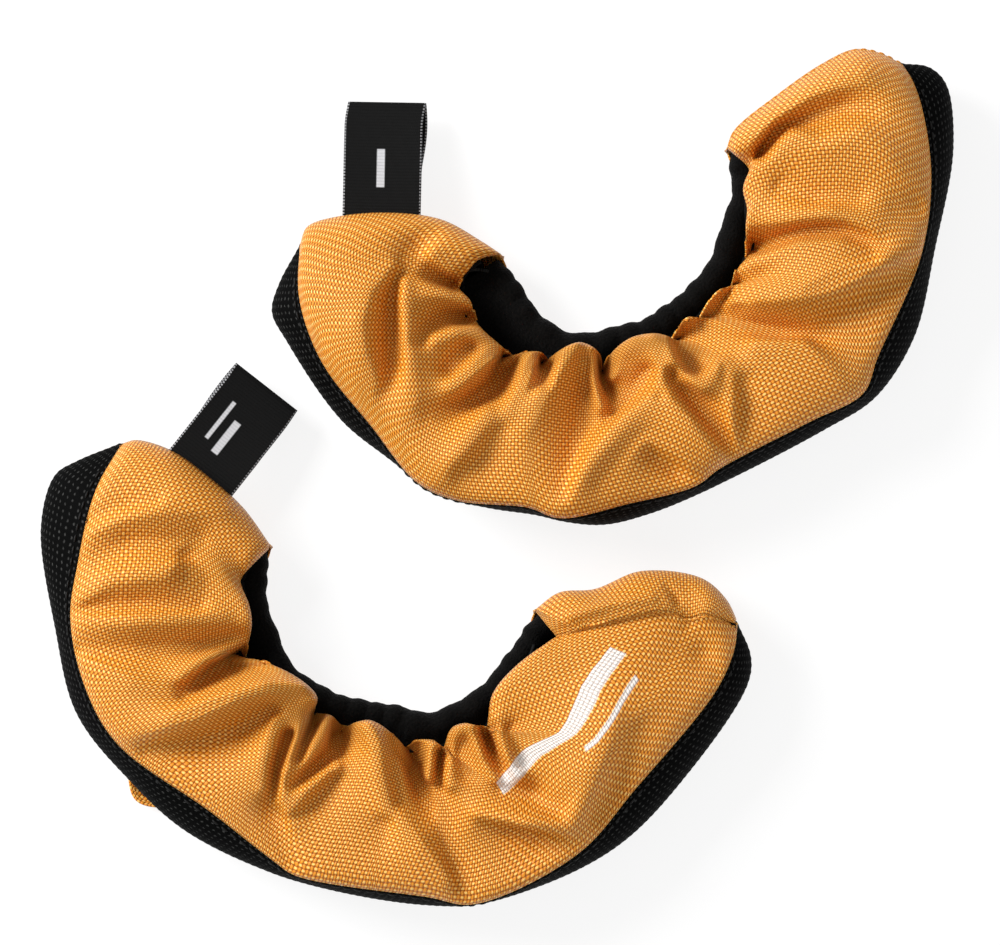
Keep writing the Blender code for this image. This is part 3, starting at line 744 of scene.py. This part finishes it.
def barred(tree, colour, place, bars, cover, ink):
    """The colour under plain bars of ink, which the cover lets show from 0 to 1."""
    along, across = place
    for (start, end), (low, high) in bars:
        mask = calc(tree, "MULTIPLY", band_mask(tree, along, start, end), band_mask(tree, across, low, high))
        colour = mixed(tree, calc(tree, "MULTIPLY", mask, cover), colour, (*ink, 1.0))
    return colour


def orange_cloth(name, stripes=()):
    """Coarse nylon: one yarn's crowns carry a painted highlight, and the gaps a painted shade of burnt
    orange. stripes are plain printed bars.
    """
    material, tree, shader = new_material(name, 0.44, 0.35, 0.05, (1.0, 0.7, 0.35))
    along, across, vector = cloth_coordinates(tree)
    drift = calc(tree, "MULTIPLY_ADD", noise(tree, vector, 0.25), 0.5, 0.0)
    along = calc(tree, "ADD", along, drift)
    across = calc(tree, "ADD", across, drift)
    height, odd = plain_weave(tree, along, across, YARN_PITCH, YARN_PITCH, 0.7)
    # Both ramps darken from crown to gap as painted shade; the lit one, used on every other float, also
    # carries the painted highlight.
    lit = ramp(tree, height, ((0.0, CLOTH_GAP_SHADE), (0.5, CLOTH_MID), (0.78, CLOTH_BASE), (0.95, CLOTH_CROWN_HIGHLIGHT)))
    dull = ramp(tree, height, ((0.0, CLOTH_GAP_SHADE), (0.6, CLOTH_MID), (1.0, CLOTH_BASE)))
    colour = mixed(tree, odd, dull, lit)
    shade = noise(tree, vector, 0.06, 3.0)
    tone = mixed(tree, calc(tree, "MULTIPLY", shade, 0.22), colour, (*CLOTH_MID, 1.0))
    cover = calc(tree, "MULTIPLY_ADD", height, 0.35, 0.62)
    tone = barred(tree, tone, (along, across), stripes, cover, PRINT_WHITE)
    relief = calc(tree, "MULTIPLY_ADD", noise(tree, vector, 6.0), 0.12, height)
    surface(tree, shader, tone, relief, 0.32)
    return material


def webbing_cloth():
    """Near-black ribbed webbing, with a dull painted highlight fleck where each rib's surface yarn shows."""
    material, tree, shader = new_material("black_webbing", 0.7, 0.03)
    along, across, vector = cloth_coordinates(tree)
    drift = calc(tree, "MULTIPLY_ADD", noise(tree, vector, 0.5), 0.9, -0.45)
    far = []
    for place, pitch, reach in ((along, RIB_PITCH, 0.30), (across, FLECK_PITCH, 0.20)):
        part = calc(tree, "FRACT", calc(tree, "DIVIDE", calc(tree, "ADD", place, drift), pitch))
        off = calc(tree, "DIVIDE", calc(tree, "SUBTRACT", part, 0.5), reach)
        far.append(calc(tree, "POWER", off, 2.0))
    fleck = calc(tree, "MAXIMUM", calc(tree, "SUBTRACT", 1.0, calc(tree, "ADD", *far)), 0.0)
    # The flecks, made uneven by noise, are a painted highlight on the ribs' surface yarns.
    uneven_fleck_highlight = calc(tree, "MULTIPLY", fleck, noise(tree, vector, 1.1, 3.0))
    colour = ramp(tree, uneven_fleck_highlight, ((0.0, (0.0012, 0.0012, 0.0012)), (0.15, (0.006, 0.006, 0.006)),
                               (0.6, (0.05, 0.05, 0.048))))
    relief = calc(tree, "MULTIPLY_ADD", noise(tree, vector, 5.0), 0.3, fleck)
    surface(tree, shader, colour, relief, 0.2)
    return material


def terry_cloth(name):
    material, tree, shader = new_material(name, 0.95, 0.08, 0.04, (0.5, 0.5, 0.52))
    fuzz = noise(tree, object_vector(tree), 1400.0, 3.0)
    colour = ramp(tree, fuzz, ((0.3, (0.001, 0.001, 0.001)), (0.75, (0.005, 0.0045, 0.004))))
    surface(tree, shader, colour, fuzz, 0.6)
    return material


def thread_material(name, colour):
    material, tree, shader = new_material(name, 0.6, 0.2)
    grain = noise(tree, object_vector(tree), 3000.0)
    dark = tuple(0.6 * c for c in colour)
    tone = ramp(tree, grain, ((0.35, dark), (0.7, colour)))
    surface(tree, shader, tone, grain, 0.1)
    return material


def elastic_cloth():
    material, tree, shader = new_material("black_elastic", 0.75, 0.15)
    along, across, _ = cloth_coordinates(tree)
    height, _ = plain_weave(tree, along, across, 0.8, 0.5, 0.7)
    colour = ramp(tree, height, ((0.0, (0.002, 0.002, 0.002)), (1.0, (0.012, 0.012, 0.012))))
    surface(tree, shader, colour, height, 0.2)
    return material


def label_cloth(name, bars):
    """Black satin weave with plain pale bars and a dashed pale selvedge along both long edges."""
    material, tree, shader = new_material(name, 0.62, 0.08)
    along, across, _ = cloth_coordinates(tree)
    height, _ = plain_weave(tree, along, across, 0.9, 0.3, 0.9)
    colour = ramp(tree, height, ((0.0, (0.002, 0.002, 0.002)), (1.0, (0.006, 0.006, 0.006))))
    cover = calc(tree, "MULTIPLY_ADD", height, 0.25, 0.7)
    colour = barred(tree, colour, (along, across), bars, cover, LABEL_PALE)
    edge = calc(tree, "ABSOLUTE", calc(tree, "SUBTRACT", across, 0.5 * LABEL_WIDTH))
    rim = band_mask(tree, edge, 0.5 * LABEL_WIDTH - 0.5, 0.5 * LABEL_WIDTH + 1.0, 0.05)
    dash = calc(tree, "GREATER_THAN", calc(tree, "FRACT", calc(tree, "DIVIDE", along, 0.9)), 0.45)
    colour = mixed(tree, calc(tree, "MULTIPLY", rim, calc(tree, "MULTIPLY", dash, 0.5)),
                   colour, (*LABEL_PALE, 1.0))
    surface(tree, shader, colour, height, 0.08)
    return material


# ---------------------------------------------------------------- pieces of a guard

def settle(obj, body, node):
    """The piece stands for its CAD node and moves as that node does."""
    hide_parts(node)
    if body == "soft":
        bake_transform(obj)
    else:
        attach(obj, body)


def guard_curves(guard):
    """The guard's edges as dense 3-D paths."""
    seam_plan = smooth_path(guard["seam"])
    full = END_FULLNESS + (1.0 - END_FULLNESS) * swell(seam_plan)
    seam = with_height(seam_plan, MID_HEIGHT + (SEAM_HEIGHT - MID_HEIGHT) * full)
    outer_plan = at(smooth_path(guard["outer"]), np.linspace(0, 1, len(seam)))
    seam_even = at(seam, np.linspace(0, 1, len(seam)))
    full = END_FULLNESS + (1.0 - END_FULLNESS) * swell(outer_plan)
    inward = plan_normal(averaged(outer_plan, 8))
    foot_plan = outer_plan + inward * (1.0 + FOOT_INSET * swell(outer_plan))[:, None]
    foot = with_height(foot_plan, MID_HEIGHT + (FOOT_HEIGHT - MID_HEIGHT) * full)
    outer = with_height(outer_plan, 0.5 * (seam_even[:, 2] + foot[:, 2]))
    lip = at(smooth_path(guard["lip"]), np.linspace(0, 1, LIP_POINTS))
    lip += LIP_EASE * (averaged(lip, LIP_REACH) - lip) * (1, 1, 0)
    lip = fitted_waves(lip, flat_length(guard, seam))
    far = at(smooth_path(guard["far_lip"]), np.linspace(0, 1, FAR_LIP_POINTS))
    heel = smooth_path(guard["heel_edge"])
    toe = smooth_path(guard["toe_edge"])
    return {"seam": seam_even, "outer": outer, "foot": foot, "lip": lip, "far": far, "heel": heel, "toe": toe}


def flat_length(guard, seam):
    return run_length(seam)[-1] - sum(guard["cuts"])


def edge_set(seam, lip, heel, toe):
    """The four edges of a wall, with their ends drawn together at the corners."""
    heel, toe = heel.copy(), toe.copy()
    heel[0], heel[-1] = seam[0], lip[0]
    toe[0], toe[-1] = seam[-1], lip[-1]
    return {"seam": seam, "lip": lip, "heel": heel, "toe": toe}


def make_top_panel(guard, curves, paint):
    name = guard["name"] + "_top_panel"
    edges = edge_set(curves["seam"], curves["lip"], curves["heel"], curves["toe"])
    shape = {"folds": guard["folds"], "load": TOP_LOAD, "seam_roll": SEAM_ROLL, "lip_roll": LIP_ROLL,
             "heel_roll": CLOSED_ROLL, "toe_roll": guard["toe_roll"], "lip_slope": LIP_SLOPE, **TOP_LEVELS}
    points, flat = lay_wall(edges, guard["cuts"], shape)
    obj = grid_object(name, points, flat, PANEL_THICK, -1.0, 0, paint[guard["name"] + "_cloth"])
    settle(obj, "soft", name)
    return points


def far_lip_line(curves):
    """The under wall's gathered edge: small even ruffles along the far lip."""
    far = curves["far"]
    run = run_length(far)
    ends = np.clip(np.minimum(run, run[-1] - run) / 8.0, 0.0, 1.0)
    phase = math.tau * run / RUFFLE_PITCH + 1.3 * np.sin(run / 9.0)
    height = 6.5 + ends * 2.2 * np.sin(phase)
    line = np.column_stack([far, height])
    line[:, :2] -= plan_normal(averaged(far, 6)) * (1.4 * ends + 0.5 * ends * np.cos(phase))[:, None]
    return line


def make_under_panel(guard, curves, paint):
    name = guard["name"] + "_under_panel"
    lip = far_lip_line(curves)
    toe = curves["toe"]
    if "toe_brow" in guard:
        toe = smooth_path(guard["toe_brow"])
    edges = edge_set(curves["foot"], lip, curves["heel"], toe)
    shape = {"folds": (), "load": UNDER_LOAD, "seam_roll": UNDER_SEAM_ROLL, "lip_roll": UNDER_LIP_ROLL,
             "heel_roll": UNDER_END_ROLL, "toe_roll": UNDER_END_ROLL, "lip_slope": UNDER_LIP_SLOPE,
             **UNDER_LEVELS}
    points, flat = lay_wall(edges, guard["under_cuts"], shape)
    if "pucker" in guard:
        place, push, reach = guard["pucker"]
        far = np.linalg.norm(points[..., :2] - place, axis=-1)
        points[..., :2] += np.exp(-(far / reach) ** 2)[..., None] * push
    if "toe_brow" in guard:
        points, flat = with_toe_wrap(guard, curves, points, flat)
    obj = grid_object(name, points, flat, PANEL_THICK, 1.0, 0, paint["cloth"])
    settle(obj, "soft", name)
    return points


def with_toe_wrap(guard, curves, points, flat):
    """Carries the under panel on over the brow of the toe, up to the stitched seam on top."""
    brow = points[-1]
    b = np.linspace(0, 1, brow.shape[0])
    seam = at(curves["toe"], b)
    back = brow - seam
    rise = brow + np.array((0, 0, 9.0)) + 0.12 * back * (1, 1, 0)
    over = seam + 0.45 * back * (1, 1, 0) + np.array((0, 0, 2.5))
    added = []
    for f in np.linspace(0, 1, TOE_WRAP_ROWS + 1)[1:]:
        g = 1 - f
        row = g ** 3 * brow + 3 * g * g * f * rise + 3 * g * f * f * over + f ** 3 * seam
        grip, lift = line_pull(row[:, :2], guard["folds"])
        row[:, 2] += lift * np.minimum(grip, 1.0) * math.sin(math.pi * f) ** 0.5 * (f < 1)
        added.append(row)
    added = np.array(added)
    steps = np.linalg.norm(np.diff(np.concatenate([points[-1:], added]), axis=0), axis=-1)
    more = np.repeat(flat[-1:], TOE_WRAP_ROWS, 0)
    more[..., 0] += np.cumsum(steps, 0)
    return np.concatenate([points, added]), np.concatenate([flat, more])


def make_lining(name, points, side, paint):
    """Terry that hangs inside a wall: side -1 below the top wall, +1 above the under wall."""
    grid = points[::3, LINING_EDGE:int(points.shape[1] * LINING_REACH):4].copy()
    height = grid[..., 2] * side
    for _ in range(3):
        spread = height.copy()
        spread[1:] = np.maximum(spread[1:], height[:-1])
        spread[:-1] = np.maximum(spread[:-1], height[1:])
        height = spread
    height = averaged(height, 3)
    grid[..., :2] = averaged(grid[..., :2], 3)
    grid[..., 2] = height * side + side * LINING_GAP
    grid = grid[LINING_MARGIN:-LINING_MARGIN]
    along = np.linalg.norm(np.diff(grid, axis=0), axis=-1).mean(axis=1)
    across = np.linalg.norm(np.diff(grid, axis=1), axis=-1).mean(axis=0)
    flat = np.zeros(grid.shape[:2] + (2,))
    flat[1:, :, 0] = np.cumsum(along)[:, None]
    flat[:, 1:, 1] = np.cumsum(across)[None]
    obj = grid_object(name, grid, flat, LINING_THICK, float(side), 1, paint["terry"])
    settle(obj, "soft", name)


def band_line(path, reach):
    """A lip's line with its tucks averaged away, as the elastic keeps the hem."""
    even = at(path, np.linspace(0, 1, 500))
    return averaged(even, reach)


def terry_lumps(grid, size, seed):
    """Uneven pile: small random lifts along the section's normals."""
    random = np.random.default_rng(seed)
    lumps = random.normal(0.0, 1.0, grid.shape[:2])
    lumps = 0.5 * averaged(lumps, 1) + 0.5 * averaged(averaged(lumps, 2).T, 1).T
    return grid + cloth_normals(grid) * (size * lumps)[..., None]


def kept_under(grid, cloth, gap):
    """Presses the grid's points down to this gap below the cloth that lies over them."""
    spots = cloth.reshape(-1, 3)
    tree = KDTree(len(spots))
    for i, (x, y, _) in enumerate(spots):
        tree.insert((x, y, 0.0), i)
    tree.balance()
    for row in grid:
        for point in row:
            _, i, far = tree.find((point[0], point[1], 0.0))
            if far < COVER_REACH:
                point[2] = min(point[2], spots[i, 2] - gap)
    return grid


def make_top_band(guard, curves, top, paint):
    name = guard["name"] + "_top_mouth_band"
    line = band_line(curves["lip"], 16)[12:-12]
    grid = swept(line, HEM_SECTION)
    grid = kept_under(terry_lumps(grid, 0.16, 11), top, COVER_GAP)
    obj = grid_object(name, grid, None, BAND_THICK, -1.0, 1, paint["terry"])
    settle(obj, "soft", name)


def make_under_band(guard, curves, top, paint):
    """The rolled terry rim that shows all along the far lip, ruffled by the elastic."""
    name = guard["name"] + "_under_mouth_band"
    far = curves["far"]
    run = run_length(far)
    phase = math.tau * run / RUFFLE_PITCH + 2.6 * np.sin(run / 9.0)
    ends = np.clip(np.minimum(run, run[-1] - run) / 6.0, 0.0, 1.0)
    line = with_height(far, 0.0)
    grid = swept(line, RIM_SECTION)
    normal = plan_normal(averaged(far, 6))
    grid[..., :2] -= (normal * (BAND_END_INSET * (1.0 - ends))[:, None])[:, None]
    weight = np.exp(-((np.arange(len(RIM_SECTION)) - 3.0) / 3.0) ** 2)
    ruffle = (0.22 * np.cos(phase) + 0.2 * np.cos(0.43 * phase + 1.0)) * ends
    grid[..., :2] += (normal * ruffle[:, None])[:, None] * weight[None, :, None]
    grid[..., 2] += (0.5 * np.cos(phase + 0.6) * ends)[:, None] * weight[None]
    grid[..., 2] = RIM_FOOT + (grid[..., 2] - RIM_FOOT) * (0.55 + 0.45 * ends[:, None])
    grid = kept_under(terry_lumps(grid, 0.14, 12)[4:-4], top, COVER_GAP)
    obj = grid_object(name, grid, None, BAND_THICK, -1.0, 1, paint["terry"])
    settle(obj, "soft", name)


def sole_grid(curves, count_along, count_across):
    """The webbing's outer skin between the seam and the foot, bowed out to the outline."""
    f = np.linspace(0.0, 1.0, count_along)
    seam, outer, foot = (at(curves[k], f) for k in ("seam", "outer", "foot"))
    bulge = (outer - 0.125 * (seam + foot)) / 0.75
    high, low = bulge.copy(), bulge.copy()
    high[:, 2] = 0.6 * bulge[:, 2] + 0.4 * seam[:, 2]
    low[:, 2] = 0.6 * bulge[:, 2] + 0.4 * foot[:, 2]
    s = np.linspace(SOLE_MARGIN, 1.0 - SOLE_MARGIN, count_across)[None, :, None]
    g = 1.0 - s
    seam, high, low, foot = (p[:, None] for p in (seam, high, low, foot))
    return g ** 3 * seam + 3 * g * g * s * high + 3 * g * s * s * low + s ** 3 * foot


def outward_normals(grid):
    """Unit normals of the sole's skin, pointing away from the pouch."""
    normal = cloth_normals(grid)
    column = grid.shape[1] // 2
    away = grid[:, column] - grid.mean(axis=(0, 1))
    return -normal if np.sum(normal[:, column] * away) < 0 else normal


def make_sole(guard, curves, paint):
    """The webbing, with its ribs and their beads as relief."""
    name = guard["name"] + "_webbing_sole"
    grid = sole_grid(curves, *SOLE_GRID)
    ones = np.ones(SOLE_GRID)
    along = run_length(grid[:, SOLE_GRID[1] // 2])[:, None] * ones
    across = np.linspace(0, WEBBING_WIDTH, SOLE_GRID[1]) * ones
    rib = 0.5 + 0.5 * np.cos(math.tau * along / RIB_PITCH)
    bead = 0.5 + 0.5 * np.cos(math.tau * across / RIB_PITCH + math.pi * np.floor(along / RIB_PITCH + 0.5))
    relief = RIB_RELIEF * (0.6 * rib + 0.4 * rib * bead)
    edge = np.clip(np.minimum(across, WEBBING_WIDTH - across) / 1.2, 0, 1)
    grid = grid + outward_normals(grid) * (relief * edge - RIB_RELIEF)[..., None]
    uv = np.stack([along, across], -1)
    obj = grid_object(name, grid, uv, WEBBING_THICK, 1.0, 0, paint["webbing"])
    settle(obj, "soft", name)


def make_insole(guard, curves, paint):
    name = guard["name"] + "_insole_strip"
    inner = sole_grid(curves, *INSOLE_GRID)[14:-14, 3:-3]
    inner = terry_lumps(inner - outward_normals(inner) * INSOLE_DEPTH, 0.1, 13)
    obj = grid_object(name, inner, None, INSOLE_THICK, 0.0, 1, paint["terry"])
    settle(obj, "soft", name)


def make_elastic(guard, curves, top, paint):
    """The elastic loop in the hems: along the near lip and back along the far one."""
    name = guard["name"] + "_mouth_elastic"
    near = band_line(curves["lip"], 20)[14:-14:4]
    near = swept(near, (NEAR_ELASTIC,))[:, 0]
    near = kept_under(near[None], top, COVER_GAP + 0.5 * ELASTIC_WIDTH)[0]
    far = band_line(with_height(curves["far"], 0.0), 12)[14:-14:4]
    far = swept(far, (FAR_ELASTIC,))[:, 0]
    loop = np.vstack([near, far[::-1], near[:1]])
    loop = averaged(np.vstack([loop[-20:-1], loop, loop[1:20]]), 3)[19:-19]
    half = 0.5 * ELASTIC_WIDTH
    rows = np.array([-half, 0.0, half])
    grid = np.repeat(loop[:, None], 3, 1)
    grid[..., 2] += rows[None, :]
    uv = np.stack([run_length(loop)[:, None] * np.ones((1, 3)), np.ones((len(loop), 1)) * rows], -1)
    obj = grid_object(name, grid, uv, ELASTIC_THICK, 0.0, 0, paint["elastic"])
    settle(obj, "soft", name)


def make_sole_stitches(guard, curves, paint):
    name = guard["name"]
    skin = sole_grid(curves, 500, 40)
    normal = outward_normals(skin)
    span = slice(16, -16)
    for suffix, column in (("_top_sole_stitch", 2), ("_under_sole_stitch", -3)):
        line, up = skin[span, column], normal[span, column]
        obj = stitch_object(name + suffix, line, up, *SOLE_THREAD, paint["thread"])
        settle(obj, "soft", name + suffix)


def make_mouth_stitches(guard, curves, paint):
    """The hem threads: below the near lip's hem, and on top of the far rim."""
    near = band_line(curves["lip"], 16)[40:-40]
    far = with_height(curves["far"], 0.0)[20:-20]
    for suffix, line, place, up in (("_top_mouth_stitch", near, HEM_STITCH, -1.0),
                                    ("_under_mouth_stitch", far, RIM_STITCH, 1.0)):
        name = guard["name"] + suffix
        hem = swept(line, (place,))[:, 0]
        ups = np.tile((0.0, 0.0, up), (len(hem), 1))
        obj = stitch_object(name, hem, ups, *HEM_THREAD, paint["thread"])
        settle(obj, "soft", name)


def make_toe_topstitch(guard, top, paint):
    name = guard["name"] + "_toe_topstitch"
    line, up = top[-2, 2:-1], cloth_normals(top)[-2, 2:-1]
    obj = stitch_object(name, line, up, *TOE_THREAD, paint["orange_thread"])
    settle(obj, "soft", name)


def make_seam_tapes(guard, top, paint):
    name = guard["name"]
    for suffix, row in (("_heel_seam_tape", TAPE_ROW), ("_toe_seam_tape", -TAPE_ROW)):
        inner = at(top[row], np.linspace(0.16, 0.92, 40)) - np.array((0, 0, TAPE_DEPTH))
        obj = tube_object(name + suffix, inner, 0.5, paint["tape"])
        settle(obj, "soft", name + suffix)


def make_label(guard, paint):
    """The folded woven label: a loop of satin ribbon, flattened but not creased at its turn."""
    name = guard["name"]
    turned = math.radians(guard["label_angle"])
    level = np.array((math.cos(turned), math.sin(turned), 0.0))
    side = np.array((level[1], -level[0], 0.0))
    rise = np.array((0.0, 0.0, 1.0))
    droop = math.radians(LABEL_DROOP)
    way = level * math.cos(droop) - rise * math.sin(droop)
    up = level * math.sin(droop) + rise * math.cos(droop)
    base = np.array((*guard["label_base"], LABEL_HEIGHT))
    reach, belly = guard["label_reach"], guard["label_belly"]
    front = [(x, LABEL_BEND + 0.5 * math.sin(math.pi * x / reach))
             for x in np.linspace(-LABEL_TUCK, reach - 1.5, 15)]
    turn = [(reach - 1.2 + 1.6 * math.cos(t), LABEL_BEND * math.sin(t)) for t in np.linspace(1.3, -1.3, 9)]
    back = [(x, -LABEL_BEND - (belly + 0.3) * math.sin(math.pi * x / reach))
            for x in np.linspace(reach - 1.5, -LABEL_TUCK, 15)]
    profile = np.array(front + turn + back)
    run = run_length(profile)
    lanes = np.linspace(-0.5, 0.5, 15) * LABEL_WIDTH
    grid = np.zeros((len(profile), len(lanes), 3))
    for i, (out, height) in enumerate(profile):
        behind = np.clip((run[i] - reach) / reach, 0.0, 1.0)
        slide = guard["label_slide"] * math.sin(math.pi * min(1.0, behind * 1.2))
        curl = 0.35 * (lanes / (0.5 * LABEL_WIDTH)) ** 2 * math.sin(math.pi * np.clip(out / reach, 0, 1))
        grid[i] = (base + way * out + side * (lanes[:, None] + slide) + up * (height + curl)[:, None])
    ones = np.ones((len(run), len(lanes)))
    uv = np.stack([ones * run[:, None], ones * (lanes + 0.5 * LABEL_WIDTH)], -1)
    obj = grid_object(name + "_label_loop", grid, uv, LABEL_THICK, 0.0, 1, paint[name + "_label"])
    settle(obj, name + "_label", name + "_label_loop")
    tack = base - way * 3.8 + up * (LABEL_BEND + 0.75) + side * np.linspace(-9.5, 9.5, 12)[:, None]
    obj = stitch_object(name + "_label_bartack", tack, np.tile(up, (12, 1)), *TACK_THREAD, paint["thread"])
    settle(obj, name + "_label", name + "_label_bartack")


def make_guard(guard, paint):
    """All the pieces of one guard."""
    curves = guard_curves(guard)
    top = make_top_panel(guard, curves, paint)
    under = make_under_panel(guard, curves, paint)
    make_lining(guard["name"] + "_top_lining", top, -1, paint)
    make_lining(guard["name"] + "_under_lining", under, 1, paint)
    make_top_band(guard, curves, top, paint)
    make_under_band(guard, curves, top, paint)
    make_sole(guard, curves, paint)
    make_insole(guard, curves, paint)
    make_elastic(guard, curves, top, paint)
    make_sole_stitches(guard, curves, paint)
    make_mouth_stitches(guard, curves, paint)
    make_toe_topstitch(guard, top, paint)
    make_seam_tapes(guard, top, paint)
    make_label(guard, paint)


# ---------------------------------------------------------------- studio

def make_studio():
    scene = bpy.context.scene
    bpy.ops.mesh.primitive_plane_add(size=6.0, location=(0, 0, -0.0002))
    floor = bpy.context.object
    floor.name = "studio_floor"
    material, _, shader = new_material("studio_floor", 0.9, 0.0)
    shader.inputs["Base Color"].default_value = (0.2, 0.2, 0.2, 1.0)
    shader.inputs["Emission Color"].default_value = (1.0, 1.0, 1.0, 1.0)
    shader.inputs["Emission Strength"].default_value = FLOOR_GLOW
    floor.data.materials.append(material)

    world = bpy.data.worlds.new("studio")
    world.use_nodes = True
    world.node_tree.nodes["Background"].inputs[0].default_value = (1.0, 1.0, 1.0, 1.0)
    world.node_tree.nodes["Background"].inputs[1].default_value = WORLD_LIGHT
    scene.world = world
    for name, place, size, power in SOFTBOXES:
        data = bpy.data.lights.new(name, "AREA")
        data.shape = "RECTANGLE"
        data.size, data.size_y = size
        data.energy = power
        lamp = bpy.data.objects.new(name, data)
        lamp.location = place
        lamp.rotation_euler = (-Vector(place)).to_track_quat("-Z", "Y").to_euler()
        scene.collection.objects.link(lamp)
    scene.view_settings.view_transform = "Standard"

    data = bpy.data.cameras.new("photo_camera")
    data.sensor_width = 36.0
    data.lens = CAMERA_LENS
    camera = bpy.data.objects.new("photo_camera", data)
    camera.location = (CAMERA_AIM[0] * MM, CAMERA_AIM[1] * MM, CAMERA_HEIGHT * MM)
    scene.collection.objects.link(camera)
    scene.camera = camera


def main():
    paint = {
        "cloth": orange_cloth("orange_cloth"),
        "left_cloth": orange_cloth("orange_cloth_printed", PRINT_STRIPES),
        "webbing": webbing_cloth(),
        "terry": terry_cloth("black_terry"),
        "thread": thread_material("black_thread", (0.004, 0.004, 0.004)),
        "orange_thread": thread_material("orange_thread", (0.8, 0.33, 0.05)),
        "elastic": elastic_cloth(),
        "tape": terry_cloth("seam_tape"),
        "left_label": label_cloth("label_left", LABEL_BARS),
        "right_label": label_cloth("label_right", LABEL_BARS[:1]),
    }
    paint["right_cloth"] = paint["cloth"]
    for guard in (LEFT_GUARD, RIGHT_GUARD):
        make_guard(guard, paint)
    make_studio()


main()
